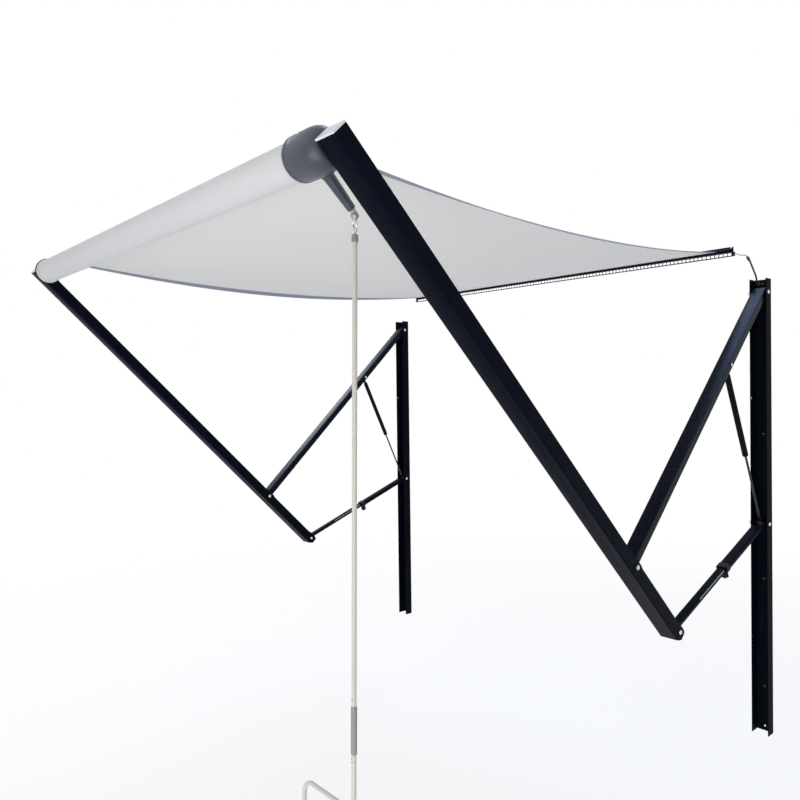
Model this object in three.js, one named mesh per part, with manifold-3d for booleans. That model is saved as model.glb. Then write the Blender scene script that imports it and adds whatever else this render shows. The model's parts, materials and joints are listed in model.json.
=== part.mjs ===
// Camper awning with folding arms, shown open. Millimetres, X along the wall, Y into it, Z up.
// The origin is the middle of the awning rail's back face on the wall.
import * as THREE from "three";
import { mergeVertices } from "three/addons/utils/BufferGeometryUtils.js";
import Module from "manifold-3d";

const wasm = await Module();
wasm.setup();

// Clearances between neighbours
const fit = {
  gap: 0.3,
  mesh: 0.4,
  overcut: 1,
};

// Facets round a circle, by size of piece
const facets = { fine: 34, drum: 30, round: 18, pin: 13, small: 10, tiny: 8, bend: 4, corner: 2 };

// The linkage, from the open pose
const linkage = {
  sideX: 1000,
  boltY: -28,
  upperBoltZ: -179,
  pivotDrop: 851,
  upperArm: 1245,
  elbowToFoot: 344,
  upperAngle: 46.58,
  outerAngle: 45.29,
  strutAlong: 392,
  rollerBack: 3,
  crankLean: 1.1,
};

const channel = { width: 60, depth: 45, wall: 2.5, corner: 3, above: 50, length: 1681, openHole: 7 };
const channelScrew = {
  belowTop: [17, 571],
  aboveEnd: [570, 167],
  openAboveEnd: 18,
  shank: 2,
  head: 4.5,
  rise: 2.6,
  rim: 0.9,
};
const catchRivet = { height: -567, depth: -39, head: 3.5, rise: 1.6, rim: 0.6, shank: 1.8 };

const bolt = { radius: 5, head: 8, rise: 5, rim: 1.6, nutFlats: 17, nutHeight: 8 };
const bush = { upper: 11, lower: 9, eye: 8, foot: 9 };

const upperArm = {
  width: 46,
  wall: 2.5,
  front: 15,
  back: -12,
  start: -16,
  past: 14,
  endCorner: 11,
  corner: 3,
};
const elbow = { radius: 6, head: 9, rise: 4.5, rim: 1.5 };
const strutPin = { radius: 4, head: 7, rise: 2.2, rim: 0.9, half: 10 };

const pitchBar = { width: 28, depth: 14, wall: 2, corner: 3, start: 150, past: 9.6, endCorner: 6.9 };
const pitchTube = { wall: 2.7, corner: 4, start: -12, end: 335, fork: 32, endCorner: 9.9 };
const lockCollar = { wall: 2, start: 312, end: 336, corner: 5.5 };
const lockKnob = {
  along: 323,
  stud: 3,
  hub: 6.5,
  hubEnd: -18,
  radius: 11.2,
  lobe: 1.1,
  lobes: 5,
  steps: 8,
  end: -36,
  cap: 7,
  capEnd: -38.5,
};

const outerArm = { width: 60, wall: 3, front: -25, back: 16, ear: 19, corner: 4, top: 1790 };
const footOutline = { chamferSide: -8, chamferBack: -12, chamferBottom: -25, bottom: -26, heel: 9 };
const earOutline = { footTop: 22, footFade: 40, elbowHalf: 18, elbowFade: 30 };
const footCap = { top: -14, slopeStart: 2, slopeEnd: -19 };
const armHead = { length: 74, plate: 4.7, axleDepth: 27, axlePocket: 15 };

const strut = {
  eye: 9.4,
  rodEye: 5,
  rodNeck: 6,
  rodNeckEnd: 65,
  rod: 4,
  rodEnd: 312,
  piston: 7.7,
  pistonLength: 9,
  cylinder: 10,
  bore: 8,
  gland: 12,
  start: 287,
  end: 613,
  roof: 8,
  neck: 6,
};

// Roller and winding gear, X positions and radii
const roller = { tube: 39, tubeWall: 3, start: -932, end: 858, fabric: 44, fabricStart: -925.7 };
const ring = { radius: 45.5, start: -932, edge: 1.2 };
const endDisc = { radius: 49, width: 4.7, edge: 1.2, plugEnd: -900, hub: 15, hubEnd: -969.4 };
const axlePin = { radius: 6, end: -903 };
const drum = {
  radius: 50,
  wall: 4,
  start: 860,
  end: 967,
  edge: 2,
  spigot: 11,
  spigotEnd: 985,
  axle: 7,
  axleStart: 835,
};
const crown = {
  teeth: 36,
  outer: 42,
  inner: 27,
  backX: 876,
  plugStart: 830,
  flange: 45.4,
  flangeWidth: 5,
  hub: 43,
};
const pinion = { teeth: 12, axisX: 903, shaft: 6.3, reach: 150, ball: 7 };
const tooth = { rise: 2.1, root: 2.7, rootShare: 0.3, tipShare: 0.16 };
const snout = { start: 42, end: 138, foot: 13, tip: 10, lip: 1.2 };
const drumScrew = { acrossX: 905, shank: 2, head: 4.2, rise: 2.4, rim: 0.9, depth: 44.5 };

// Crank, heights below the swivel ball
const yoke = { cup: 9.8, rim: -2.4, stem: 5, end: -13.5 };
const eye = { ring: 7.3, wire: 2.2, stem: 3, stemTop: -9.5 };
const hook = { wire: 2, bow: 4.6, legEnd: -38, mouth: -36, neck: -45, end: -51.7 };
const collar = { radius: 7.5, top: -45, seat: -52.2, end: -62, edge: 1.2 };
const rod = {
  radius: 5.5,
  top: -52.5,
  kneeHeight: -1256,
  kneeRadius: 34,
  offset: -190,
  end: -1519,
  pinRadius: 1.6,
  pinHalf: 6.1,
  pinHeights: [-1045, -1171, -1179],
};
const grip = { upper: 6.8, upperTop: -1060, upperEnd: -1164, lower: 13, lowerTop: -1391, lowerEnd: -1509, edge: 2 };

const rail = { half: 893, height: 10, plate: 3, grooveY: -8, grooveZ: -3.5, barrel: 6, slot: 1.5 };
const bead = { radius: 3.6, tongue: 0.8, tip: -14.2, leftInset: 4, rightInset: 61 };
const railScrew = { z: 6.4, count: 7, endInset: 8, shank: 1.7, head: 3, rise: 1.8, rim: 0.6 };
const led = { leftInset: 5, rightPast: 3, top: -10.3, bottom: -26.7, depth: 11, wall: 1.5, cap: 2, plug: 6 };
const ledStrip = { wall: 1.6, inset: 8 };

// The wire's first points lie this far from the light profile's end
const wire = {
  radius: 2,
  leaving: [
    [-7, -7, -18.5],
    [1, -7, -18.5],
    [10, -8.5, -20],
  ],
  arriving: [
    [922, -13, -27.5],
    [936, -14, -30.2],
    [943.6, -14, -31.2],
    [947.2, -14, -34.4],
    [949.1, -14, -37.7],
    [951, -14, -41.1],
  ],
};
const joint = { radius: 4.9, top: [949.4, -14, -38.2], bottom: [957.8, -14, -53.2], sink: 4, edge: 1 };
const cable = { radius: 3.25, arc: 13, x: 984, y: -16, grommetZ: -142, end: -0.4 };
const cableRoute = [
  [955.8, -14, -49.7],
  [957.8, -14, -53.2],
  [959.8, -14, -56.8],
  [965.5, -14, -72],
  [974, -14.5, -95],
  [982, -15.6, -116],
];
const grommet = { flange: 7.2, neck: 5, lip: 1.6 };

const canopy = {
  thickness: 2,
  wallY: -14.5,
  wallZ: -3.5,
  leftPast: 7.7,
  lift: 6,
  edgeSag: 42,
  middleSag: 54,
  steps: 20,
  columns: 6,
};
const binding = { width: 25, thickness: 1.2, inset: 1.5, startShare: 0.002, endShare: 0.985 };

const paint = (color, roughness, metalness) => new THREE.MeshStandardMaterial({ color, roughness, metalness });
const finish = {
  black: paint(0x1d1f24, 0.42, 0.35),
  deepBlack: paint(0x17181b, 0.5, 0.2),
  steel: paint(0xb9bcc0, 0.28, 1),
  darkSteel: paint(0x6e7175, 0.35, 1),
  nylon: paint(0x26272a, 0.55, 0),
  paleNylon: paint(0xd6d6d2, 0.5, 0),
  aluminium: paint(0xa9adb2, 0.35, 1),
  rod: paint(0xcfc8bb, 0.45, 0.2),
  grip: paint(0x8b8d90, 0.6, 0),
  white: paint(0xeceded, 0.4, 0),
  fabric: paint(0xd2d4d6, 0.9, 0),
  binding: paint(0x747890, 0.85, 0),
  rubber: paint(0x1b1b1c, 0.7, 0),
};

// Closed shell of a geometry as a solid, faces outwards
function solid(geometry) {
  const bare = new THREE.BufferGeometry();
  bare.setAttribute("position", geometry.attributes.position.clone());
  if (geometry.index) {
    bare.setIndex(geometry.index.clone());
  }
  const merged = mergeVertices(bare, 1e-4);
  const points = merged.attributes.position;
  const index = Array.from(merged.index.array);
  const corners = [];
  let volume = 0;
  for (let i = 0; i < index.length; i += 3) {
    const [a, b, c] = index.slice(i, i + 3);
    if (a !== b && b !== c && c !== a) {
      corners.push(a, b, c);
      const [p, q, r] = [a, b, c].map((n) => new THREE.Vector3().fromBufferAttribute(points, n));
      volume += p.dot(q.cross(r));
    }
  }
  if (volume < 0) {
    corners.reverse();
  }
  const vertProperties = Float32Array.from(points.array);
  const triVerts = Uint32Array.from(corners);
  return new wasm.Manifold(new wasm.Mesh({ numProp: 3, vertProperties, triVerts }));
}

function join(solids) {
  return solids.reduce((whole, piece) => whole.add(piece));
}

function cut(whole, tools) {
  return tools.reduce((rest, tool) => rest.subtract(tool), whole);
}

function mesh(name, shape, material) {
  const data = shape.getMesh();
  const geometry = new THREE.BufferGeometry();
  geometry.setAttribute("position", new THREE.BufferAttribute(Float32Array.from(data.vertProperties), 3));
  geometry.setIndex(Array.from(data.triVerts));
  geometry.computeVertexNormals();
  const piece = new THREE.Mesh(geometry, material);
  piece.name = name;
  return piece;
}

// Box between two corners
function box(low, high) {
  const size = high.map((value, i) => value - low[i]);
  const geometry = new THREE.BoxGeometry(...size);
  geometry.translate(...high.map((value, i) => (value + low[i]) / 2));
  return solid(geometry);
}

// Round pin between two points
function pin(from, to, radius, count = facets.pin) {
  const a = new THREE.Vector3(...from);
  const b = new THREE.Vector3(...to);
  const geometry = new THREE.CylinderGeometry(radius, radius, a.distanceTo(b), count);
  const turn = new THREE.Quaternion().setFromUnitVectors(new THREE.Vector3(0, 1, 0), b.clone().sub(a).normalize());
  geometry.applyQuaternion(turn);
  geometry.translate(...a.add(b).multiplyScalar(0.5).toArray());
  return solid(geometry);
}

// Pin along X at (y, z)
function pinX(x0, x1, y, z, radius, count = facets.pin) {
  return pin([x0, y, z], [x1, y, z], radius, count);
}

// Turned piece; the profile lists [distance along the axis, radius]
function turned(profile, from, towards, count = facets.pin) {
  const points = profile.map(([along, radius]) => new THREE.Vector2(radius, along));
  const geometry = new THREE.LatheGeometry(points, count);
  const direction = new THREE.Vector3(...towards).normalize();
  geometry.applyQuaternion(new THREE.Quaternion().setFromUnitVectors(new THREE.Vector3(0, 1, 0), direction));
  geometry.translate(...from);
  return solid(geometry);
}

// Round tube along X as one closed ring
function ringX(x0, x1, y, z, inner, outer, count = facets.pin) {
  return turned([[0, inner], [0, outer], [x1 - x0, outer], [x1 - x0, inner], [0, inner]], [x0, y, z], [1, 0, 0], count);
}

// Outline drawn in (Y, Z) and carried along X about centreX
function sideExtrude(shape, width, centreX = 0) {
  const geometry = new THREE.ExtrudeGeometry(shape, { depth: width, bevelEnabled: false, curveSegments: facets.bend });
  const basis = new THREE.Matrix4().makeBasis(
    new THREE.Vector3(0, 1, 0),
    new THREE.Vector3(0, 0, 1),
    new THREE.Vector3(1, 0, 0),
  );
  geometry.applyMatrix4(basis);
  geometry.translate(centreX - width / 2, 0, 0);
  return solid(geometry);
}

// Outline drawn in (X, Y) and carried along Z
function upExtrude(shape, z0, z1) {
  const options = { depth: z1 - z0, bevelEnabled: false, curveSegments: facets.corner };
  const geometry = new THREE.ExtrudeGeometry(shape, options);
  geometry.translate(0, 0, z0);
  return solid(geometry);
}

// U section about x, closed at webY and open at edgeY, with rounded outer corners
function uSection(x, width, webY, edgeY, wall, corner) {
  const half = width / 2;
  const side = Math.sign(edgeY - webY);
  const shape = new THREE.Shape();
  shape.moveTo(x - half, edgeY);
  shape.lineTo(x - half, webY + side * corner);
  shape.quadraticCurveTo(x - half, webY, x - half + corner, webY);
  shape.lineTo(x + half - corner, webY);
  shape.quadraticCurveTo(x + half, webY, x + half, webY + side * corner);
  shape.lineTo(x + half, edgeY);
  shape.lineTo(x + half - wall, edgeY);
  shape.lineTo(x + half - wall, webY + side * wall);
  shape.lineTo(x - half + wall, webY + side * wall);
  shape.lineTo(x - half + wall, edgeY);
  shape.closePath();
  return shape;
}

function roundedRect(x0, x1, y0, y1, radius) {
  const shape = new THREE.Shape();
  shape.moveTo(x0 + radius, y0);
  shape.lineTo(x1 - radius, y0);
  shape.absarc(x1 - radius, y0 + radius, radius, -Math.PI / 2, 0);
  shape.lineTo(x1, y1 - radius);
  shape.absarc(x1 - radius, y1 - radius, radius, 0, Math.PI / 2);
  shape.lineTo(x0 + radius, y1);
  shape.absarc(x0 + radius, y1 - radius, radius, Math.PI / 2, Math.PI);
  shape.lineTo(x0, y0 + radius);
  shape.absarc(x0 + radius, y0 + radius, radius, Math.PI, 1.5 * Math.PI);
  return shape;
}

// Hollow rectangular section about x
function boxSection(x, width, depth, wall, corner) {
  const shape = roundedRect(x - width / 2, x + width / 2, -depth / 2, depth / 2, corner);
  const inner = corner - wall > fit.gap ? corner - wall : fit.gap;
  const hole = roundedRect(x - width / 2 + wall, x + width / 2 - wall, -depth / 2 + wall, depth / 2 - wall, inner);
  shape.holes.push(hole);
  return shape;
}

// Skin through rings of points, all with the same count; a closed loft joins its last ring to its first
function loft(rings, closed) {
  const count = rings[0].length;
  const points = rings.flat();
  const index = [];
  const last = closed ? rings.length : rings.length - 1;
  for (let r = 0; r < last; r += 1) {
    const next = (r + 1) % rings.length;
    for (let i = 0; i < count; i += 1) {
      const j = (i + 1) % count;
      index.push(r * count + i, r * count + j, next * count + j);
      index.push(r * count + i, next * count + j, next * count + i);
    }
  }
  if (!closed) {
    for (const end of [0, rings.length - 1]) {
      const middle = new THREE.Vector3();
      rings[end].forEach((point) => middle.add(point));
      points.push(middle.multiplyScalar(1 / count));
      for (let i = 0; i < count; i += 1) {
        const pair = [end * count + i, end * count + ((i + 1) % count)];
        index.push(points.length - 1, ...(end === 0 ? pair.reverse() : pair));
      }
    }
  }
  const geometry = new THREE.BufferGeometry();
  geometry.setAttribute("position", new THREE.Float32BufferAttribute(points.flatMap((p) => p.toArray()), 3));
  geometry.setIndex(index);
  return solid(geometry);
}

// Round wire through a list of points
function wireAlong(points, radius, steps, count) {
  const path = new THREE.CatmullRomCurve3(points.map((p) => new THREE.Vector3(...p)), false, "centripetal");
  return wireOn(path, radius, steps, count);
}

function wireOn(path, radius, steps, count) {
  const shape = new THREE.Shape();
  shape.absarc(0, 0, radius, 0, 2 * Math.PI);
  const options = { steps, extrudePath: path, bevelEnabled: false, curveSegments: count };
  return solid(new THREE.ExtrudeGeometry(shape, options));
}

const domeShare = 0.6;

// Domed head on a shank, both round; the shank runs back from the head's seat
function domed(from, towards, piece, shankRadius, shankLength, count) {
  const profile = [
    [-shankLength, 0],
    [-shankLength, shankRadius],
    [0, shankRadius],
    [0, piece.head],
    [piece.rim, piece.head],
    [piece.rise, piece.head * domeShare],
    [piece.rise, 0],
  ];
  return turned(profile, from, towards, count);
}

function frameAt(parent, y, z, angle) {
  const group = new THREE.Group();
  group.position.set(0, y, z);
  group.rotation.x = angle;
  parent.add(group);
  return group;
}

const degrees = Math.PI / 180;
const upperAngle = linkage.upperAngle * degrees;
const outerAngle = linkage.outerAngle * degrees;
const downwards = (angle) => new THREE.Vector2(-Math.sin(angle), -Math.cos(angle));
const upperPivot = new THREE.Vector2(linkage.boltY, linkage.upperBoltZ);
const lowerPivot = upperPivot.clone().add(new THREE.Vector2(0, -linkage.pivotDrop));
const elbowPoint = upperPivot.clone().addScaledVector(downwards(upperAngle), linkage.upperArm);
const alongOuter = new THREE.Vector2(-Math.sin(outerAngle), Math.cos(outerAngle));
const behindOuter = new THREE.Vector2(Math.cos(outerAngle), Math.sin(outerAngle));
const footPoint = elbowPoint.clone().addScaledVector(alongOuter, -linkage.elbowToFoot);
const pitchVector = footPoint.clone().sub(lowerPivot);
const pitchLength = pitchVector.length();
const pitchAngle = Math.atan2(-pitchVector.x, -pitchVector.y);
const strutPoint = upperPivot.clone().addScaledVector(downwards(upperAngle), linkage.strutAlong);
const strutVector = strutPoint.clone().sub(lowerPivot);
const strutLength = strutVector.length();
const strutAngle = Math.atan2(-strutVector.x, strutVector.y);
const rollerAlong = outerArm.top - armHead.axleDepth;
const rollerAxis = footPoint
  .clone()
  .addScaledVector(alongOuter, rollerAlong)
  .addScaledVector(behindOuter, linkage.rollerBack);
const swivel = rollerAxis.clone().addScaledVector(alongOuter, -pinion.reach);

const awning = new THREE.Group();
awning.name = "camper_awning";
const upperFrame = frameAt(awning, upperPivot.x, upperPivot.y, Math.PI - upperAngle);
const pitchFrame = frameAt(awning, lowerPivot.x, lowerPivot.y, Math.PI - pitchAngle);
const strutFrame = frameAt(awning, lowerPivot.x, lowerPivot.y, strutAngle);
const outerFrame = frameAt(awning, footPoint.x, footPoint.y, outerAngle);
const rollerFrame = frameAt(awning, rollerAxis.x, rollerAxis.y, outerAngle);
const crankFrame = new THREE.Group();
crankFrame.position.set(pinion.axisX, swivel.x, swivel.y);
crankFrame.rotation.x = -linkage.crankLean * degrees;
awning.add(crankFrame);

// Wall channels
const flangeX = channel.width / 2;
const flangeInner = flangeX - channel.wall;
const channelTop = linkage.upperBoltZ + channel.above;
const channelEnd = channelTop - channel.length;
const channelScrewHeights = [
  ...channelScrew.belowTop.map((drop) => channelTop - drop),
  ...channelScrew.aboveEnd.map((rise) => channelEnd + rise),
];

// Screw heads on the back plate, driven home
function channelScrews(x) {
  const seat = -channel.wall;
  return channelScrewHeights.map((z) =>
    domed([x, seat, z], [0, -1, 0], channelScrew, channelScrew.shank, channel.wall / 2, facets.tiny),
  );
}

// Catch rivet on the inner face of the left flange
function catchRivetBody(x) {
  const from = [x - flangeInner, catchRivet.depth, catchRivet.height];
  return domed(from, [1, 0, 0], catchRivet, catchRivet.shank, channel.wall / 2, facets.small);
}

function wallChannel(x, grommetHole) {
  const section = uSection(x, channel.width, 0, -channel.depth, channel.wall, channel.corner);
  const holes = [upperPivot, lowerPivot].map((p) =>
    pinX(x - channel.width, x + channel.width, p.x, p.y, bolt.radius + fit.gap),
  );
  const openZ = channelEnd + channelScrew.openAboveEnd;
  holes.push(pin([x, -channel.depth, openZ], [x, fit.overcut, openZ], channel.openHole / 2, facets.small));
  if (grommetHole) {
    const from = [cable.x, -channel.depth, cable.grommetZ];
    holes.push(pin(from, [cable.x, fit.overcut, cable.grommetZ], grommet.neck + fit.gap, facets.small));
  }
  const shell = cut(upExtrude(section, channelEnd, channelTop), holes);
  return join([shell, ...channelScrews(x), catchRivetBody(x)]);
}

awning.add(mesh("wall_channel_left", wallChannel(-linkage.sideX, false), finish.black));
awning.add(mesh("wall_channel_right", wallChannel(linkage.sideX, true), finish.black));

// Pivot bolts with their nuts
function pivotBolt(x, y, z, half) {
  const seat = half + fit.gap;
  const end = -seat - bolt.nutHeight;
  const head = domed([x + seat, y, z], [1, 0, 0], bolt, bolt.radius, seat - end - fit.overcut, facets.pin);
  const nut = pinX(x + end, x - seat, y, z, bolt.nutFlats / Math.sqrt(3), 6);
  return head.add(nut);
}

// Pair of round bosses on both sides of a pivoting piece
function bosses(x, y, z, inner, outer, radius) {
  return join([pinX(x + inner, x + outer, y, z, radius), pinX(x - outer, x - inner, y, z, radius)]);
}

const tubeX = pitchBar.width / 2 + fit.gap + pitchTube.wall;
const forkInner = pitchBar.width / 2 + fit.gap;
for (const [side, x] of [["left", -linkage.sideX], ["right", linkage.sideX]]) {
  const upper = pivotBolt(x, upperPivot.x, upperPivot.y, flangeX);
  const lower = pivotBolt(x, lowerPivot.x, lowerPivot.y, flangeX);
  awning.add(mesh(`upper_pivot_bolt_${side}`, upper, finish.steel));
  awning.add(mesh(`lower_pivot_bolt_${side}`, lower, finish.steel));
}

// Awning rail with its groove, screws and bead
const railZ = [-rail.height, rail.height];
const railScrewX = Array.from(
  { length: railScrew.count },
  (_, i) => (rail.half - railScrew.endInset) * ((2 * i) / (railScrew.count - 1) - 1),
);
const beadX = [-rail.half + bead.leftInset, rail.half - bead.rightInset];
const railBody = join([
  box([-rail.half, -rail.plate, railZ[0]], [rail.half, 0, railZ[1]]),
  pinX(-rail.half, rail.half, rail.grooveY, rail.grooveZ, rail.barrel, facets.pin),
]);
const railTools = [
  pinX(-rail.half - fit.overcut, rail.half + fit.overcut, rail.grooveY, rail.grooveZ, bead.radius + fit.mesh),
  box(
    [-rail.half - fit.overcut, rail.grooveY - 2 * rail.barrel, rail.grooveZ - rail.slot],
    [rail.half + fit.overcut, rail.grooveY, rail.grooveZ + rail.slot],
  ),
];
const railScrews = railScrewX.map((x) =>
  domed([x, -rail.plate, railScrew.z], [0, -1, 0], railScrew, railScrew.shank, rail.plate / 2, facets.tiny),
);
awning.add(mesh("awning_rail", join([cut(railBody, railTools), ...railScrews]), finish.black));

const beadBody = join([
  pinX(...beadX, rail.grooveY, rail.grooveZ, bead.radius, facets.small),
  box([beadX[0], bead.tip, rail.grooveZ - bead.tongue], [beadX[1], rail.grooveY, rail.grooveZ + bead.tongue]),
]);
awning.add(mesh("keder_bead", beadBody, finish.binding));

// Light strip in its profile, with end caps
const ledStart = -rail.half + led.leftInset;
const ledEnd = rail.half + led.rightPast;
const ledInnerTop = led.top - led.wall;
const ledInnerBottom = led.bottom + led.wall;
const ledBody = box([ledStart, -led.depth, led.bottom], [ledEnd, 0, led.top]);
const ledHollow = box(
  [ledStart - fit.overcut, -led.depth - fit.overcut, ledInnerBottom],
  [ledEnd + fit.overcut, -led.wall, ledInnerTop],
);
awning.add(mesh("led_profile", ledBody.subtract(ledHollow), finish.deepBlack));

const stripBack = -led.wall - fit.gap;
const strip = box(
  [ledStart + ledStrip.inset, stripBack - ledStrip.wall, ledInnerBottom + fit.gap],
  [ledEnd - ledStrip.inset, stripBack, ledInnerTop - fit.gap],
);
awning.add(mesh("led_strip", strip, finish.deepBlack));

function ledCap(edge, out) {
  const near = edge + out * fit.gap;
  const far = near + out * led.cap;
  const deep = edge - out * led.plug;
  const xs = (a, b) => [Math.min(a, b), Math.max(a, b)];
  const [p0, p1] = xs(near, far);
  const [q0, q1] = xs(deep, far);
  const plate = box([p0, -led.depth, led.bottom], [p1, 0, led.top]);
  const plug = box(
    [q0, -led.depth, ledInnerBottom + fit.gap],
    [q1, stripBack, ledInnerTop - fit.gap],
  );
  return plate.add(plug);
}

const wireRoute = [...wire.leaving.map(([x, y, z]) => [ledEnd + x, y, z]), ...wire.arriving];
const wireHole = pin(
  [wireRoute[0][0] - led.plug, wireRoute[0][1], wireRoute[0][2]],
  [ledEnd + led.plug, wireRoute[1][1], wireRoute[1][2]],
  wire.radius + fit.gap,
  facets.small,
);
awning.add(mesh("led_end_cap_left", ledCap(ledStart, -1), finish.deepBlack));
awning.add(mesh("led_end_cap_right", ledCap(ledEnd, 1).subtract(wireHole), finish.deepBlack));

// Lead from the light strip, its joint, and the supply cable into the right channel
awning.add(mesh("lead_wire", wireAlong(wireRoute, wire.radius, 18, 4), finish.rubber));

const jointAxis = new THREE.Vector3(...joint.bottom).sub(new THREE.Vector3(...joint.top));
const jointLength = jointAxis.length();
const wireBore = wire.radius + fit.gap;
const cableBore = cable.radius + fit.gap;
const jointProfile = [
  [joint.sink, 0],
  [joint.sink, wireBore],
  [0, wireBore],
  [0, joint.radius - joint.edge],
  [joint.edge, joint.radius],
  [jointLength - joint.edge, joint.radius],
  [jointLength, joint.radius - joint.edge / 2],
  [jointLength, cableBore],
  [jointLength - joint.sink - fit.overcut, cableBore],
  [jointLength - joint.sink - fit.overcut, 0],
];
awning.add(mesh("lead_joint", turned(jointProfile, joint.top, jointAxis.toArray(), facets.pin), finish.rubber));

const arcTop = cable.grommetZ + cable.arc;
const arcPoints = [0.2, 0.4, 0.6, 0.8, 1].map((share) => {
  const angle = (share * Math.PI) / 2;
  return [cable.x, cable.y + cable.arc * (1 - Math.cos(angle)), arcTop - cable.arc * Math.sin(angle)];
});
const cablePoints = [...cableRoute, [cable.x, cable.y, arcTop], ...arcPoints, [cable.x, cable.end, cable.grommetZ]];
awning.add(mesh("supply_cable", wireAlong(cablePoints, cable.radius, 30, 5), finish.rubber));

const grommetSeat = channel.wall + fit.gap;
const grommetProfile = [
  [0, cableBore],
  [0, grommet.neck],
  [grommetSeat - fit.gap, grommet.neck],
  [grommetSeat - fit.gap, grommet.flange],
  [grommetSeat - fit.gap + grommet.lip, grommet.flange - fit.gap],
  [grommetSeat + grommet.lip, grommet.neck],
  [grommetSeat + grommet.lip, cableBore],
  [0, cableBore],
];
const grommetBody = turned(grommetProfile, [cable.x, -fit.gap, cable.grommetZ], [0, -1, 0], facets.pin);
awning.add(mesh("cable_grommet", grommetBody, finish.rubber));

// Upper arms and the pins of the gas struts on them
const armInner = upperArm.width / 2 - upperArm.wall;

function upperArmBody(x) {
  const end = linkage.upperArm + upperArm.past;
  const section = uSection(x, upperArm.width, upperArm.front, upperArm.back, upperArm.wall, upperArm.corner);
  const outline = roundedRect(upperArm.back, upperArm.front, upperArm.start, end, upperArm.endCorner);
  const body = upExtrude(section, upperArm.start, end).intersect(sideExtrude(outline, upperArm.width, x));
  const hole = (z, radius) => pinX(x - upperArm.width, x + upperArm.width, 0, z, radius + fit.gap);
  const pivotBosses = bosses(x, 0, 0, upperArm.width / 2 - upperArm.wall / 2, flangeInner - fit.gap, bush.upper);
  const shell = cut(body.add(pivotBosses), [hole(0, bolt.radius), hole(linkage.upperArm, elbow.radius)]);
  return join([shell, ...headedStubs(x, linkage.strutAlong, strutPin, upperArm.width / 2, strutPin.half)]);
}

// Two riveted stubs that face each other across the middle of a U section
function headedStubs(x, z, piece, seat, half) {
  const inner = half + fit.gap;
  return [-1, 1].map((side) =>
    domed([x + side * seat, 0, z], [side, 0, 0], piece, piece.radius, seat - inner, facets.pin),
  );
}

upperFrame.add(mesh("upper_arm_left", upperArmBody(-linkage.sideX), finish.black));
upperFrame.add(mesh("upper_arm_right", upperArmBody(linkage.sideX), finish.black));

// Pitch arms: outer tube with clamp collar and knob, inner bar
const outerX = outerArm.width / 2;
const outerInner = outerX - outerArm.wall;
const tubeWidth = pitchBar.width + 2 * (fit.gap + pitchTube.wall);
const tubeDepth = pitchBar.depth + 2 * (fit.gap + pitchTube.wall);
const collarWidth = tubeWidth + 2 * (fit.gap + lockCollar.wall);
const collarDepth = tubeDepth + 2 * (fit.gap + lockCollar.wall);

function studHole(x) {
  return pin([x, -collarDepth, lockKnob.along], [x, 0, lockKnob.along], lockKnob.stud + fit.gap, facets.small);
}

function pitchTubeBody(x) {
  const section = boxSection(x, tubeWidth, tubeDepth, pitchTube.wall, pitchTube.corner);
  const outline = roundedRect(
    -tubeDepth / 2,
    tubeDepth / 2,
    pitchTube.start,
    pitchTube.end + pitchTube.endCorner,
    pitchTube.endCorner,
  );
  const body = upExtrude(section, pitchTube.start, pitchTube.end).intersect(sideExtrude(outline, tubeWidth, x));
  const fork = box(
    [x - forkInner, -tubeDepth, pitchTube.start - fit.overcut],
    [x + forkInner, tubeDepth, pitchTube.fork],
  );
  const pivotBosses = bosses(x, 0, 0, forkInner + pitchTube.wall / 2, flangeInner - fit.gap, bush.lower);
  const hole = pinX(x - channel.width, x + channel.width, 0, 0, bolt.radius + fit.gap);
  return cut(body.add(pivotBosses), [fork, hole, studHole(x)]);
}

function lockCollarBody(x) {
  const section = boxSection(x, collarWidth, collarDepth, lockCollar.wall, lockCollar.corner);
  return upExtrude(section, lockCollar.start, lockCollar.end).subtract(studHole(x));
}

function lockKnobBody(x) {
  const star = new THREE.Shape();
  const count = lockKnob.lobes * lockKnob.steps;
  for (let i = 0; i < count; i += 1) {
    const angle = (i / count) * 2 * Math.PI;
    const radius = lockKnob.radius + lockKnob.lobe * Math.cos(lockKnob.lobes * angle);
    const point = [radius * Math.cos(angle), radius * Math.sin(angle)];
    if (i === 0) {
      star.moveTo(...point);
    } else {
      star.lineTo(...point);
    }
  }
  const head = new THREE.ExtrudeGeometry(star, { depth: lockKnob.hubEnd - lockKnob.end, bevelEnabled: false });
  head.rotateX(Math.PI / 2);
  head.translate(x, lockKnob.hubEnd, lockKnob.along);
  const stem = turned(
    [
      [pitchBar.depth / 2 + fit.gap, 0],
      [pitchBar.depth / 2 + fit.gap, lockKnob.stud],
      [collarDepth / 2 + fit.gap, lockKnob.stud],
      [collarDepth / 2 + fit.gap, lockKnob.hub],
      [-lockKnob.end, lockKnob.cap + fit.overcut],
      [-lockKnob.capEnd, lockKnob.cap],
      [-lockKnob.capEnd, 0],
    ],
    [x, 0, lockKnob.along],
    [0, -1, 0],
    facets.small,
  );
  return stem.add(solid(head));
}

function pitchBarBody(x) {
  const end = pitchLength + pitchBar.past;
  const section = boxSection(x, pitchBar.width, pitchBar.depth, pitchBar.wall, pitchBar.corner);
  const outline = roundedRect(
    -pitchBar.depth / 2,
    pitchBar.depth / 2,
    pitchBar.start - pitchBar.endCorner,
    end,
    pitchBar.endCorner,
  );
  const body = upExtrude(section, pitchBar.start, end).intersect(sideExtrude(outline, pitchBar.width, x));
  const sideWall = pitchBar.width / 2 - pitchBar.wall / 2;
  const footBosses = bosses(x, 0, pitchLength, sideWall, outerInner - fit.gap, bush.foot);
  const hole = pinX(x - outerArm.width, x + outerArm.width, 0, pitchLength, bolt.radius + fit.gap);
  return body.add(footBosses).subtract(hole);
}

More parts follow.
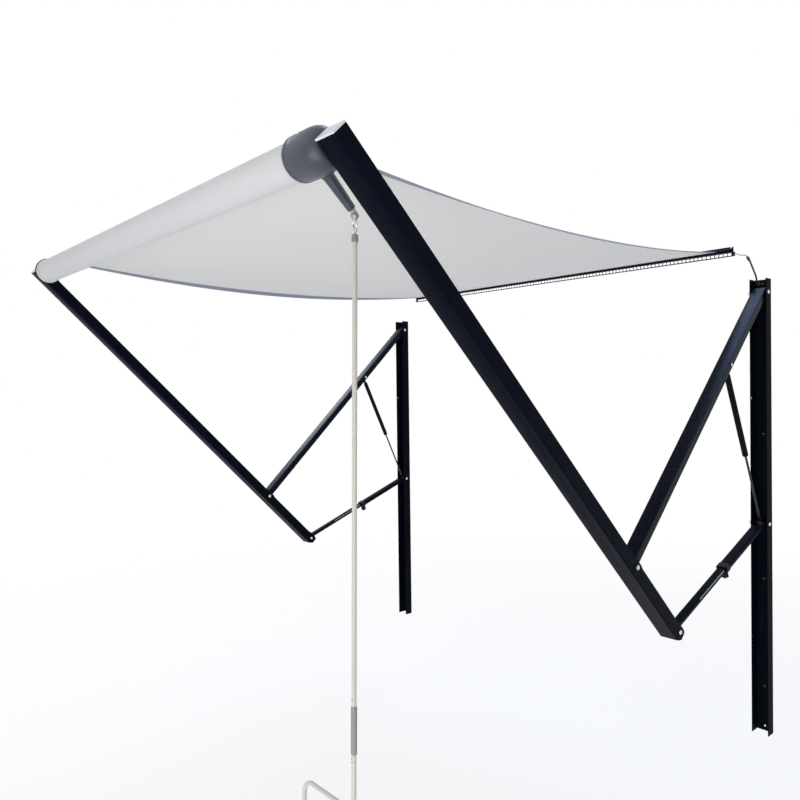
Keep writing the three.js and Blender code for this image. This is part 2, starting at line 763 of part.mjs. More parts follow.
pitchFrame.add(mesh("pitch_tube_left", pitchTubeBody(-linkage.sideX), finish.black));
pitchFrame.add(mesh("pitch_tube_right", pitchTubeBody(linkage.sideX), finish.black));
pitchFrame.add(mesh("lock_collar_left", lockCollarBody(-linkage.sideX), finish.nylon));
pitchFrame.add(mesh("lock_collar_right", lockCollarBody(linkage.sideX), finish.nylon));
pitchFrame.add(mesh("lock_knob_left", lockKnobBody(-linkage.sideX), finish.nylon));
pitchFrame.add(mesh("lock_knob_right", lockKnobBody(linkage.sideX), finish.nylon));
pitchFrame.add(mesh("pitch_bar_left", pitchBarBody(-linkage.sideX), finish.black));
pitchFrame.add(mesh("pitch_bar_right", pitchBarBody(linkage.sideX), finish.black));

// Gas struts
const rodEyeBore = bolt.radius + fit.gap;
const pinBore = strutPin.radius + fit.gap;

function strutRod(x) {
  const body = turned(
    [
      [0, 0],
      [0, strut.rodNeck],
      [strut.rodNeckEnd, strut.rodNeck],
      [strut.rodNeckEnd, strut.rod],
      [strut.rodEnd - strut.pistonLength, strut.rod],
      [strut.rodEnd - strut.pistonLength, strut.piston],
      [strut.rodEnd, strut.piston],
      [strut.rodEnd, 0],
    ],
    [x, 0, 0],
    [0, 0, 1],
    facets.small,
  );
  const slab = box(
    [x - strut.rodEye, -strut.eye, -strut.eye],
    [x + strut.rodEye, strut.eye, 2 * strut.eye],
  );
  const eyeBody = pinX(x - strut.rodEye, x + strut.rodEye, 0, 0, strut.eye);
  const shank = body.subtract(box([x - strut.eye, -strut.eye, -strut.eye], [x + strut.eye, strut.eye, strut.eye]));
  const link = body.intersect(slab);
  const eyeBosses = bosses(x, 0, 0, strut.rodEye / 2, forkInner - fit.gap, bush.eye);
  const hole = pinX(x - channel.width, x + channel.width, 0, 0, rodEyeBore);
  return join([shank, link, eyeBody, eyeBosses]).subtract(hole);
}

function strutCylinder(x) {
  const boreRadius = strut.rod + fit.gap;
  const profile = [
    [strut.start, boreRadius],
    [strut.start, strut.cylinder - fit.overcut],
    [strut.start + fit.overcut, strut.cylinder],
    [strut.end - fit.overcut, strut.cylinder],
    [strut.end, strut.cylinder - fit.overcut],
    [strut.end, strut.neck],
    [strutLength, strut.neck],
    [strutLength, 0],
    [strut.end - strut.roof, 0],
    [strut.end - strut.roof, strut.bore],
    [strut.start + strut.gland, strut.bore],
    [strut.start + strut.gland, boreRadius],
    [strut.start, boreRadius],
  ];
  const body = turned(profile, [x, 0, 0], [0, 0, 1], facets.pin);
  const eyeBody = pinX(x - strutPin.half, x + strutPin.half, 0, strutLength, strut.eye);
  return body.add(eyeBody).subtract(pinX(x - strut.eye - fit.overcut, x + strut.eye + fit.overcut, 0, strutLength, pinBore));
}

strutFrame.add(mesh("strut_rod_left", strutRod(-linkage.sideX), finish.steel));
strutFrame.add(mesh("strut_rod_right", strutRod(linkage.sideX), finish.steel));
strutFrame.add(mesh("strut_cylinder_left", strutCylinder(-linkage.sideX), finish.deepBlack));
strutFrame.add(mesh("strut_cylinder_right", strutCylinder(linkage.sideX), finish.deepBlack));

// Outer arms with their feet and heads
function armOutline() {
  const elbowZ = linkage.elbowToFoot;
  const shape = new THREE.Shape();
  shape.moveTo(outerArm.front, footOutline.chamferSide);
  shape.lineTo(footOutline.chamferBack, footOutline.chamferBottom);
  shape.lineTo(footOutline.heel, footOutline.bottom);
  shape.quadraticCurveTo(outerArm.ear, footOutline.bottom, outerArm.ear, footOutline.chamferSide);
  shape.lineTo(outerArm.ear, earOutline.footTop);
  shape.lineTo(outerArm.back, earOutline.footFade);
  shape.lineTo(outerArm.back, elbowZ - earOutline.elbowFade);
  shape.lineTo(outerArm.ear, elbowZ - earOutline.elbowHalf);
  shape.lineTo(outerArm.ear, elbowZ + earOutline.elbowHalf);
  shape.lineTo(outerArm.back, elbowZ + earOutline.elbowFade);
  shape.lineTo(outerArm.back, outerArm.top);
  shape.lineTo(outerArm.front, outerArm.top);
  shape.closePath();
  return shape;
}

const axleBore = axlePin.radius + fit.gap;
const spigotBore = drum.spigot + fit.gap;
const axleReach = linkage.sideX + armHead.axlePocket;

function axleHole(side, reach) {
  const radius = side < 0 ? axleBore : spigotBore;
  const inside = side * (linkage.sideX - outerX - fit.overcut);
  return pinX(inside, side * reach, linkage.rollerBack, rollerAlong, radius, facets.round);
}

function outerArmBody(side) {
  const x = side * linkage.sideX;
  const section = uSection(x, outerArm.width, outerArm.front, outerArm.ear, outerArm.wall, outerArm.corner);
  const blank = upExtrude(section, footOutline.bottom, outerArm.top);
  const body = blank.intersect(sideExtrude(armOutline(), outerArm.width, x));
  const holes = [
    pinX(x - outerArm.width, x + outerArm.width, 0, 0, bolt.radius + fit.gap),
    axleHole(side, linkage.sideX),
  ];
  return join([cut(body, holes), ...headedStubs(x, linkage.elbowToFoot, elbow, outerX, upperArm.width / 2)]);
}

function footCapBody(x) {
  const inner = outerArm.front + outerArm.wall + fit.gap;
  const shape = new THREE.Shape();
  shape.moveTo(inner, footCap.top);
  shape.lineTo(footCap.slopeStart, footCap.top);
  shape.lineTo(outerArm.ear, footCap.slopeEnd);
  shape.lineTo(outerArm.ear, 2 * footOutline.bottom);
  shape.lineTo(inner, 2 * footOutline.bottom);
  shape.closePath();
  const width = 2 * (outerInner - fit.gap);
  return sideExtrude(shape, width, x).intersect(sideExtrude(armOutline(), width, x));
}

function armHeadBody(side) {
  const x = side * linkage.sideX;
  const plugHalf = outerInner - fit.gap;
  const plate = outerArm.top + fit.gap;
  const body = join([
    box(
      [x - plugHalf, outerArm.front + outerArm.wall + fit.gap, outerArm.top - armHead.length],
      [x + plugHalf, outerArm.back - fit.gap, plate + fit.overcut],
    ),
    box([x - outerX, outerArm.front, plate], [x + outerX, outerArm.back, plate + armHead.plate]),
  ]);
  const reach = side < 0 ? axleReach + fit.gap : drum.spigotEnd + fit.gap;
  return body.subtract(axleHole(side, reach));
}

outerFrame.add(mesh("outer_arm_left", outerArmBody(-1), finish.black));
outerFrame.add(mesh("outer_arm_right", outerArmBody(1), finish.black));
outerFrame.add(mesh("foot_cap_left", footCapBody(-linkage.sideX), finish.nylon));
outerFrame.add(mesh("foot_cap_right", footCapBody(linkage.sideX), finish.nylon));
outerFrame.add(mesh("arm_head_left", armHeadBody(-1), finish.paleNylon));
outerFrame.add(mesh("arm_head_right", armHeadBody(1), finish.paleNylon));
outerFrame.add(mesh("foot_bolt_left", pivotBolt(-linkage.sideX, 0, 0, outerX), finish.steel));
outerFrame.add(mesh("foot_bolt_right", pivotBolt(linkage.sideX, 0, 0, outerX), finish.steel));

// Axle pin of the left arm, fixed in the arm
const axle = pinX(axlePin.end, -axleReach, 0, 0, axlePin.radius, facets.pin);
rollerFrame.add(mesh("axle_pin", axle, finish.steel));

// Roller tube with the wound fabric, pale ring and end disc
const tubeBore = roller.tube - roller.tubeWall;
const tubeBody = ringX(roller.start, roller.end, 0, 0, tubeBore, roller.tube, facets.fine);
rollerFrame.add(mesh("roller_tube", tubeBody, finish.aluminium));

const overTube = roller.tube + fit.gap;
const rollBody = ringX(roller.fabricStart, roller.end - fit.gap, 0, 0, overTube, roller.fabric, facets.fine);
rollerFrame.add(mesh("fabric_roll", rollBody, finish.fabric));

const ringEnd = roller.fabricStart - fit.gap - ring.start;
const ringProfile = [
  [0, overTube],
  [0, ring.radius - ring.edge],
  [ring.edge, ring.radius],
  [ringEnd - ring.edge, ring.radius],
  [ringEnd, ring.radius - ring.edge],
  [ringEnd, overTube],
  [0, overTube],
];
rollerFrame.add(mesh("roller_ring_left", turned(ringProfile, [ring.start, 0, 0], [1, 0, 0], facets.fine), finish.white));

const discFace = roller.start - fit.gap;
const discBack = discFace - endDisc.width;
const plugRadius = tubeBore - fit.gap;
const discProfile = [
  [endDisc.plugEnd, axleBore],
  [endDisc.plugEnd, plugRadius],
  [discFace, plugRadius],
  [discFace, endDisc.radius],
  [discBack + endDisc.edge, endDisc.radius],
  [discBack, endDisc.radius - endDisc.edge],
  [discBack, endDisc.hub],
  [endDisc.hubEnd, endDisc.hub],
  [endDisc.hubEnd, axleBore],
  [endDisc.plugEnd, axleBore],
];
rollerFrame.add(mesh("roller_end_left", turned(discProfile, [0, 0, 0], [1, 0, 0], facets.drum), finish.deepBlack));

// Gear housing at the right end, fixed to the right arm
function toothedPoints(count, place) {
  const shares = [-tooth.rootShare, -tooth.tipShare, tooth.tipShare, tooth.rootShare];
  const rises = [0, 1, 1, 0];
  const points = [];
  for (let i = 0; i < count; i += 1) {
    shares.forEach((share, k) => points.push(place(((i + share) / count) * 2 * Math.PI, rises[k])));
  }
  return points;
}

const innerScale = crown.inner / crown.outer;
const pinionLarge = (crown.outer * pinion.teeth) / crown.teeth;
const pinionSmall = pinionLarge * innerScale;
const drumInner = drum.radius - drum.wall;
const shaftBore = pinion.shaft + fit.gap;
const housing = join([
  turned(
    [
      [drum.start, drumInner],
      [drum.start, drum.radius - drum.edge],
      [drum.start + drum.edge, drum.radius],
      [drum.end - drum.edge, drum.radius],
      [drum.end, drum.radius - drum.edge],
      [drum.end, drum.spigot],
      [drum.spigotEnd, drum.spigot],
      [drum.spigotEnd, 0],
      [drum.end - drum.wall, 0],
      [drum.end - drum.wall, drumInner],
      [drum.start, drumInner],
    ],
    [0, 0, 0],
    [1, 0, 0],
    facets.drum,
  ),
  pinX(drum.axleStart, drum.end - drum.wall / 2, 0, 0, drum.axle, facets.pin),
]);
const snoutProfile = [
  [snout.start, 0],
  [snout.start, snout.foot],
  [snout.end - snout.lip, snout.tip],
  [snout.end, snout.tip - snout.lip],
  [snout.end, 0],
];
const snoutBody = turned(snoutProfile, [pinion.axisX, 0, 0], [0, 0, -1], facets.round);
const drumCore = pinX(drum.start + drum.wall, drum.end - drum.wall, 0, 0, drumInner, facets.drum);
const shaftHole = pin([pinion.axisX, 0, -crown.outer], [pinion.axisX, 0, -pinion.reach], shaftBore, facets.pin);
const screwHole = pin(
  [drumScrew.acrossX, 0, crown.outer],
  [drumScrew.acrossX, 0, 2 * drum.radius],
  drumScrew.shank + fit.gap,
  facets.tiny,
);
const housingBody = housing.add(snoutBody.subtract(drumCore)).subtract(shaftHole).subtract(screwHole);
rollerFrame.add(mesh("gear_housing", housingBody, finish.deepBlack));

const screwSeat = drum.radius + fit.gap;
const housingScrew = domed(
  [drumScrew.acrossX, 0, screwSeat],
  [0, 0, 1],
  drumScrew,
  drumScrew.shank,
  screwSeat - drumScrew.depth,
  facets.small,
);
rollerFrame.add(mesh("housing_screw", housingScrew, finish.steel));

// Crown gear on the roller, with its plug in the tube; a gap between teeth faces the pinion
const largeFaceX = pinion.axisX - pinionLarge;
const smallFaceX = pinion.axisX - pinionSmall;

function crownSection(angle, rise) {
  const rootX = (scale) => -tooth.root * scale;
  const tipX = (scale) => (tooth.rise - fit.mesh) * scale;
  const spot = (radius, x) => new THREE.Vector3(x, radius * Math.sin(angle), -radius * Math.cos(angle));
  const shift = (scale) => (rise ? tipX(scale) : rootX(scale));
  return [
    spot(crown.inner, crown.backX),
    spot(crown.outer, crown.backX),
    spot(crown.outer, largeFaceX + shift(1)),
    spot(crown.inner, smallFaceX + shift(innerScale)),
  ];
}

const halfTooth = Math.PI / crown.teeth;
const crownRing = loft(toothedPoints(crown.teeth, (angle, rise) => crownSection(angle + halfTooth, rise)), true);
const flangeStart = roller.end + fit.gap + fit.gap;
const flangeEnd = flangeStart + crown.flangeWidth;
const crownBore = drum.axle + fit.gap;
const crownCore = turned(
  [
    [crown.plugStart, crownBore],
    [crown.plugStart, plugRadius],
    [flangeStart, plugRadius],
    [flangeStart, crown.flange],
    [flangeEnd, crown.flange],
    [flangeEnd, crown.hub],
    [crown.backX + fit.overcut, crown.hub],
    [crown.backX + fit.overcut, crownBore],
    [crown.plugStart, crownBore],
  ],
  [0, 0, 0],
  [1, 0, 0],
  facets.drum,
);
rollerFrame.add(mesh("crown_gear", crownRing.add(crownCore), finish.darkSteel));

// Bevel pinion with its shaft and ball; a tooth faces the crown gear
function pinionRing(distance, radius, scale) {
  return toothedPoints(pinion.teeth, (angle, rise) => {
    const reach = radius + scale * (rise ? tooth.rise - fit.mesh : -tooth.root);
    const x = pinion.axisX - reach * Math.cos(angle);
    return new THREE.Vector3(x, reach * Math.sin(angle), -distance);
  });
}

const pinionHead = loft(
  [pinionRing(crown.inner, pinionSmall, innerScale), pinionRing(crown.outer, pinionLarge, 1)],
  false,
);
const ballBody = new THREE.SphereGeometry(pinion.ball, facets.pin, facets.small);
ballBody.translate(pinion.axisX, 0, -pinion.reach);
const shaftTip = [pinion.axisX, 0, -pinion.reach];
const pinionBody = join([
  pinionHead,
  pin([pinion.axisX, 0, -crown.outer + fit.overcut], shaftTip, pinion.shaft, facets.pin),
  solid(ballBody),
]);
rollerFrame.add(mesh("bevel_pinion", pinionBody, finish.darkSteel));

// Swivel cup under the ball
const socket = pinion.ball + fit.gap;
const cupSteps = [0, 0.25, 0.5, 0.75, 1];
const rimAngle = Math.asin(-yoke.rim / socket);
const cupInner = cupSteps.map((share) => {
  const angle = Math.PI / 2 - share * (Math.PI / 2 - rimAngle);
  return [-socket * Math.sin(angle), share === 0 ? 0 : socket * Math.cos(angle)];
});
const stemBore = eye.stem + fit.gap;
const cupFloor = [
  [yoke.rim, yoke.cup],
  [-socket, yoke.cup - fit.overcut],
  [yoke.end + fit.overcut, yoke.stem],
  [yoke.end, yoke.stem],
  [yoke.end, stemBore],
  [eye.stemTop + fit.gap, stemBore],
  [eye.stemTop + fit.gap, 0],
];
crankFrame.add(mesh("crank_yoke", turned([...cupInner, ...cupFloor], [0, 0, 0], [0, 0, 1], facets.pin), finish.darkSteel));

// Winding eye, hook, collar and rod
const eyeZ = yoke.end - fit.gap - eye.ring - eye.wire;
const eyeRing = new THREE.TorusGeometry(eye.ring, eye.wire, facets.tiny, facets.round);
eyeRing.rotateX(Math.PI / 2);
eyeRing.translate(0, 0, eyeZ);
const eyeStem = pin([0, 0, eye.stemTop], [0, 0, eyeZ + eye.ring], eye.stem, facets.small);
crankFrame.add(mesh("winding_eye", solid(eyeRing).add(eyeStem), finish.steel));

const bowZ = eyeZ - eye.ring;
const bowPoints = [0, 0.25, 0.5, 0.75, 1].map((share) => {
  const angle = share * Math.PI;
  return [0, -hook.bow * Math.cos(angle), bowZ + hook.bow * Math.sin(angle)];
});
const hookPoints = [
  [0, -hook.bow, hook.legEnd],
  ...bowPoints,
  [0, hook.bow, hook.mouth],
  [0, hook.bow / 2, (hook.mouth + hook.neck) / 2],
  [0, 0, hook.neck],
  [0, 0, hook.end],
];
crankFrame.add(mesh("crank_hook", wireAlong(hookPoints, hook.wire, 30, 4), finish.steel));

const hookBore = hook.wire + fit.gap;
const rodBore = rod.radius + fit.gap;
const collarProfile = [
  [collar.top, hookBore],
  [collar.top, collar.radius - collar.edge],
  [collar.top - collar.edge, collar.radius],
  [collar.end + collar.edge, collar.radius],
  [collar.end, collar.radius - fit.gap],
  [collar.end, rodBore],
  [collar.seat, rodBore],
  [collar.seat, hookBore],
  [collar.top, hookBore],
];
crankFrame.add(mesh("crank_collar", turned(collarProfile, [0, 0, 0], [0, 0, 1], facets.pin), finish.deepBlack));

// Rod bent in the X and Z plane; each station is [x, z, heading from straight down]
const bendSteps = Array.from({ length: facets.bend + 1 }, (_, i) => (i / facets.bend) * (Math.PI / 2));
const bendOut = bendSteps.map((a) => [
  -rod.kneeRadius * (1 - Math.cos(a)),
  rod.kneeHeight - rod.kneeRadius * Math.sin(a),
  a,
]);
const bendDown = bendSteps.map((a) => [
  rod.offset + rod.kneeRadius * (1 - Math.sin(a)),
  rod.kneeHeight - rod.kneeRadius * (2 - Math.cos(a)),
  Math.PI / 2 - a,
]);
const stations = [[0, rod.top, 0], ...bendOut, ...bendDown, [rod.offset, rod.end, 0]];
const rodRings = stations.map(([x, z, heading]) =>
  Array.from({ length: facets.pin }, (_, i) => {
    const angle = (i / facets.pin) * 2 * Math.PI;
    const [side, depth] = [rod.radius * Math.cos(angle), rod.radius * Math.sin(angle)];
    return new THREE.Vector3(x + side * Math.cos(heading), depth, z - side * Math.sin(heading));
  }),
);
const crossPins = rod.pinHeights.map((z) => pin([0, -rod.pinHalf, z], [0, rod.pinHalf, z], rod.pinRadius, 8));
const rodBody = join([loft(rodRings, false), ...crossPins]);
crankFrame.add(mesh("crank_rod", rodBody, finish.rod));

function gripBody(x, top, end, radius) {
  const profile = [
    [end, rodBore],
    [end, radius - grip.edge / 2],
    [end + grip.edge, radius],
    [top - grip.edge, radius],
    [top, radius - grip.edge / 2],
    [top, rodBore],
    [end, rodBore],
  ];
  return turned(profile, [x, 0, 0], [0, 0, 1], facets.pin);
}

const upperGrip = gripBody(0, grip.upperTop, grip.upperEnd, grip.upper);
const lowerGrip = gripBody(rod.offset, grip.lowerTop, grip.lowerEnd, grip.lower);
crankFrame.add(mesh("crank_grip_upper", upperGrip, finish.grip));
crankFrame.add(mesh("crank_grip_lower", lowerGrip, finish.deepBlack));

// Canopy with its sag, and the bindings under both edges
const touch = roller.fabric + fit.gap + canopy.thickness / 2;
const liftAngle = canopy.lift * degrees;
const touchY = rollerAxis.x + touch * Math.sin(liftAngle);
const touchZ = rollerAxis.y + touch * Math.cos(liftAngle);

const rollX = [roller.fabricStart + canopy.leftPast, roller.end];

function canopyPoint(share, across, drop) {
  const nearWall = THREE.MathUtils.lerp(...beadX, across);
  const nearRoller = THREE.MathUtils.lerp(...rollX, across);
  const bow = 4 * across * (1 - across);
  const sag = THREE.MathUtils.lerp(canopy.edgeSag, canopy.middleSag, bow) * 4 * share * (1 - share);
  return new THREE.Vector3(
    THREE.MathUtils.lerp(nearWall, nearRoller, share),
    THREE.MathUtils.lerp(canopy.wallY, touchY, share),
    THREE.MathUtils.lerp(canopy.wallZ, touchZ, share) - sag - drop,
  );
}

function sheet(shareRange, acrossAt, columns, top, thickness) {
  const rings = [];
  for (let i = 0; i <= canopy.steps; i += 1) {
    const share = THREE.MathUtils.lerp(...shareRange, i / canopy.steps);
    const [from, to] = acrossAt(share);
    const row = (drop) =>
      Array.from({ length: columns + 1 }, (_, k) =>
        canopyPoint(share, THREE.MathUtils.lerp(from, to, k / columns), drop),
      );
    rings.push([...row(top), ...row(top + thickness).reverse()]);
  }
  return loft(rings, false);
}

const half = canopy.thickness / 2;
const canopyBody = sheet([0, 1], () => [0, 1], canopy.columns, -half, canopy.thickness);
awning.add(mesh("canopy", canopyBody, finish.fabric));

function bindingBody(side) {
  const strip = (share) => {
    const width = THREE.MathUtils.lerp(beadX[1] - beadX[0], rollX[1] - rollX[0], share);
    const [near, far] = [binding.inset / width, (binding.inset + binding.width) / width];
    return side < 0 ? [near, far] : [1 - far, 1 - near];
  };
  return sheet([binding.startShare, binding.endShare], strip, 1, half + fit.gap, binding.thickness);
}

awning.add(mesh("canopy_binding_left", bindingBody(-1), finish.binding));
awning.add(mesh("canopy_binding_right", bindingBody(1), finish.binding));

export default awning;
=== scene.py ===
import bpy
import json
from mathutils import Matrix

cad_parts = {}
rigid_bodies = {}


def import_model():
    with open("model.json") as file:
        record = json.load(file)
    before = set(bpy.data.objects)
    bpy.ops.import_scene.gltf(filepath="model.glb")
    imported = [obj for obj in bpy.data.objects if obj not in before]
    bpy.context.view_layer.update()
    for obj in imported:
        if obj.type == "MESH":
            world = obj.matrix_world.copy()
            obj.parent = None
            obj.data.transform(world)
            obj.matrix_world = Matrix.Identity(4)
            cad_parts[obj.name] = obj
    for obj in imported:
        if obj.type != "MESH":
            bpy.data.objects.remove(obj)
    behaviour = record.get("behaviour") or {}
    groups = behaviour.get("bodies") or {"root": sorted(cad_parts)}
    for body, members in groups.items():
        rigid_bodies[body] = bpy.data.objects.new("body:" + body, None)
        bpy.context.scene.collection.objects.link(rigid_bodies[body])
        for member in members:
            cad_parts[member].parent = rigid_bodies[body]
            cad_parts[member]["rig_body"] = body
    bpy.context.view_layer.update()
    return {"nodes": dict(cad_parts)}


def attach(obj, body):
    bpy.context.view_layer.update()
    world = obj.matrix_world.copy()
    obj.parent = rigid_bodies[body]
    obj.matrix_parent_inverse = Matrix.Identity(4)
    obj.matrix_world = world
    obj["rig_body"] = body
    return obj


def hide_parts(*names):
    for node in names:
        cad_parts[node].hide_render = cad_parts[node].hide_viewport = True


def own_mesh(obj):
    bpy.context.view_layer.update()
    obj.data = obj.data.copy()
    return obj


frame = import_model()

import json
import math

import bmesh
import bpy
from mathutils import Matrix, Vector

mm = 0.001
nodes = frame["nodes"]

# Layout, in metres from the middle of the rail's back face
linkage = {
    "sideX": 1.0,
    "boltY": -0.028,
    "upperBoltZ": -0.179,
    "pivotDrop": 0.851,
    "upperArm": 1.245,
    "elbowToFoot": 0.344,
    "upperAngle": 46.58,
    "outerAngle": 45.29,
    "strutAlong": 0.392,
    "rollerAlong": 1.763,
    "rollerBack": 0.003,
    "crankLean": 1.1,
    "swivelReach": 0.150,
    "pinionX": 0.903,
}
sides = {"left": -linkage["sideX"] / mm, "right": linkage["sideX"] / mm}  # in mm


def downwards(angle):
    return Vector((0, -math.sin(angle), -math.cos(angle)))


def tilted(point, angle):
    return Matrix.Translation(point) @ Matrix.Rotation(angle, 4, "X")


upperAngle = math.radians(linkage["upperAngle"])
outerAngle = math.radians(linkage["outerAngle"])
upperPivot = Vector((0, linkage["boltY"], linkage["upperBoltZ"]))
lowerPivot = upperPivot - Vector((0, 0, linkage["pivotDrop"]))
elbowPoint = upperPivot + downwards(upperAngle) * linkage["upperArm"]
alongOuter = Vector((0, -math.sin(outerAngle), math.cos(outerAngle)))
behindOuter = Vector((0, math.cos(outerAngle), math.sin(outerAngle)))
footPoint = elbowPoint - alongOuter * linkage["elbowToFoot"]
pitchVector = footPoint - lowerPivot
pitchAngle = math.atan2(-pitchVector.y, -pitchVector.z)
strutPoint = upperPivot + downwards(upperAngle) * linkage["strutAlong"]
strutVector = strutPoint - lowerPivot
strutAngle = math.atan2(-strutVector.y, strutVector.z)
rollerAxis = footPoint + alongOuter * linkage["rollerAlong"] + behindOuter * linkage["rollerBack"]
swivel = rollerAxis - alongOuter * linkage["swivelReach"] + Vector((linkage["pinionX"], 0, 0))

upperFrame = tilted(upperPivot, math.pi - upperAngle)
pitchFrame = tilted(lowerPivot, math.pi - pitchAngle)
strutFrame = tilted(lowerPivot, strutAngle)
outerFrame = tilted(footPoint, outerAngle)
rollerFrame = tilted(rollerAxis, outerAngle)
crankFrame = tilted(swivel, -math.radians(linkage["crankLean"]))

# Camera, at the photograph's viewing angle
view = {
    "place": (2.1449, -2.7969, -0.5193),
    "yaw": 48.807,
    "pitch": -0.820,
    "roll": 0.717,
    "lens": 32.743,
}
camera = bpy.data.objects.new("camera", bpy.data.cameras.new("camera"))
bpy.context.scene.collection.objects.link(camera)
camera.data.sensor_width = 36
camera.data.lens = view["lens"]
camera.data.clip_end = 60
aim = (
    Matrix.Rotation(math.radians(view["yaw"]), 4, "Z")
    @ Matrix.Rotation(math.radians(view["pitch"]), 4, "X")
    @ Matrix.Rotation(math.radians(view["roll"]), 4, "Y")
)
camera.matrix_world = Matrix.Translation(view["place"]) @ aim @ Matrix.Rotation(math.pi / 2, 4, "X")
bpy.context.scene.camera = camera
print("camera set")


# Shader maths on sockets
class Wire:
    def __init__(self, tree, socket):
        self.tree = tree
        self.socket = socket

    def combine(self, operation, *terms):
        node = self.tree.nodes.new("ShaderNodeMath")
        node.operation = operation
        for slot, value in zip(node.inputs, terms):
            if isinstance(value, Wire):
                self.tree.links.new(value.socket, slot)
            else:
                slot.default_value = value
        return Wire(self.tree, node.outputs[0])

    def sine(self):
        return self.combine("SINE", self)

    def size(self):
        return self.combine("ABSOLUTE", self)

    def larger(self, other):
        return self.combine("MAXIMUM", self, other)

    def output(self, index):
        return Wire(self.tree, self.socket.node.outputs[index])

    def __add__(self, other):
        return self.combine("ADD", self, other)

    def __radd__(self, other):
        return self.combine("ADD", other, self)

    def __sub__(self, other):
        return self.combine("SUBTRACT", self, other)

    def __rsub__(self, other):
        return self.combine("SUBTRACT", other, self)

    def __mul__(self, other):
        return self.combine("MULTIPLY", self, other)

    def __rmul__(self, other):
        return self.combine("MULTIPLY", other, self)

    def __truediv__(self, other):
        return self.combine("DIVIDE", self, other)

    def __rtruediv__(self, other):
        return self.combine("DIVIDE", other, self)

    def __gt__(self, other):
        return self.combine("GREATER_THAN", self, other)

    def __lt__(self, other):
        return self.combine("LESS_THAN", self, other)


class Surface:
    def __init__(self, holder):
        self.holder = holder
        holder.use_nodes = True
        self.tree = holder.node_tree
        self.tree.nodes.clear()

    def add(self, kind, settings=None, values=None, output=0):
        node = self.tree.nodes.new("ShaderNode" + kind)
        for key, value in (settings or {}).items():
            setattr(node, key, value)
        for key, value in (values or {}).items():
            if isinstance(value, Wire):
                self.tree.links.new(value.socket, node.inputs[key])
            else:
                node.inputs[key].default_value = value
        if node.outputs:
            return Wire(self.tree, node.outputs[output])

    def objectPlace(self, scale=(1, 1, 1)):
        return self.add("Mapping", None, {"Vector": self.add("TexCoord", output=3), "Scale": scale})

    def uvPlace(self, scale=(1, 1, 1)):
        return self.add("Mapping", None, {"Vector": self.add("TexCoord", output=2), "Scale": scale})

    def noise(self, place, scale, detail):
        values = {"Vector": place, "Scale": scale, "Detail": detail, "Roughness": 0.55}
        return self.add("TexNoise", None, values)

    def blend(self, mask, first, second):
        values = {0: mask, 6: (*first, 1) if isinstance(first, tuple) else first}
        values[7] = (*second, 1) if isinstance(second, tuple) else second
        return self.add("Mix", {"data_type": "RGBA"}, values, output=2)

    def bump(self, height, strength, distance):
        return self.add("Bump", None, {"Height": height, "Strength": strength, "Distance": distance})

    def seenDirectly(self):
        # camera rays, and rays that see a surface in or through another one
        rays = self.add("LightPath")
        return rays.larger(rays.output("Is Glossy Ray")).larger(rays.output("Is Transmission Ray"))

    def finish(self, values):
        shader = self.add("BsdfPrincipled", None, values)
        self.add("OutputMaterial", None, {"Surface": shader})
        return self.holder


def newSurface(name):
    return Surface(bpy.data.materials.new(name))


def powderCoat(name, colour, dusty, gloss, peel, shine=0.35, tint=(0.72, 0.82, 1.0, 1)):
    surface = newSurface(name)
    place = surface.objectPlace()
    cloudy = surface.noise(place, 7.0, 5.0)
    grain = surface.noise(place, peel, 2.0)
    streak = surface.noise(surface.objectPlace((60, 60, 3)), 1.0, 3.0)
    dust = (cloudy * streak - 0.2) * 1.4
    height = grain + surface.noise(place, peel * 0.25, 1.0) * 0.6
    return surface.finish({
        "Base Color": surface.blend(dust, colour, dusty),
        "Roughness": gloss + cloudy * 0.10 + grain * 0.06,
        "Specular IOR Level": shine,
        "Specular Tint": tint,
        "Normal": surface.bump(height, 0.16, 0.00025),
    })


armPaint = {
    "colour": (0.0035, 0.0045, 0.0095),
    "dusty": (0.0085, 0.0105, 0.019),
    "coat": {"gloss": 0.32, "peel": 1500.0, "shine": 0.02, "tint": (0.42, 0.58, 1.0, 1)},
}
# painted highlight on the sliding bar's upper corners: its edge, its reach along the bar, the face it keeps
# to, and its grey (alloy)
barHighlight = {"corner": 0.0121, "start": 0.350, "end": 0.53, "depth": 0.0046, "alloy": (0.42, 0.42, 0.45)}


def highlightedBarCoat(name):
    # painted highlight: the upper corners of the sliding bar get a bright metal grey, drawn as a highlight
    # along the edge
    surface = newSurface(name)
    place = surface.objectPlace()
    cloudy = surface.noise(place, 7.0, 5.0)
    grain = surface.noise(place, 1500.0, 2.0)
    alongBar = (pitchFrame.to_3x3() @ Vector((0, 0, 1))).normalized()
    outOfFace = (pitchFrame.to_3x3() @ Vector((0, 1, 0))).normalized()
    reach = surface.add("VectorMath", {"operation": "DOT_PRODUCT"}, {0: place, 1: alongBar}, output=1)
    depth = surface.add("VectorMath", {"operation": "DOT_PRODUCT"}, {0: place, 1: outOfFace}, output=1)
    reach = reach - lowerPivot.dot(alongBar)
    depth = depth - lowerPivot.dot(outOfFace)
    sideways = (surface.add("SeparateXYZ", None, {"Vector": place}).size() - linkage["sideX"]).size()
    ragged = barHighlight["corner"] + 0.001 * surface.noise(place, 160.0, 2.0)
    # mask of the painted highlight along the bar's corners
    highlightMask = (sideways > ragged) * (reach > barHighlight["start"]) * (reach < barHighlight["end"]) * (depth > barHighlight["depth"])
    painted = surface.blend((cloudy - 0.3) * 1.2, armPaint["colour"], armPaint["dusty"])
    # colour, metal, roughness and bump all carry the painted highlight
    return surface.finish({
        "Base Color": surface.blend(highlightMask, painted, barHighlight["alloy"]),
        "Metallic": highlightMask * 0.6,
        "Roughness": armPaint["coat"]["gloss"] + cloudy * 0.12 + highlightMask * 0.1,
        "Specular IOR Level": armPaint["coat"]["shine"],
        "Specular Tint": armPaint["coat"]["tint"],
        "Normal": surface.bump(grain - highlightMask * 0.5, 0.16, 0.00025),
    })


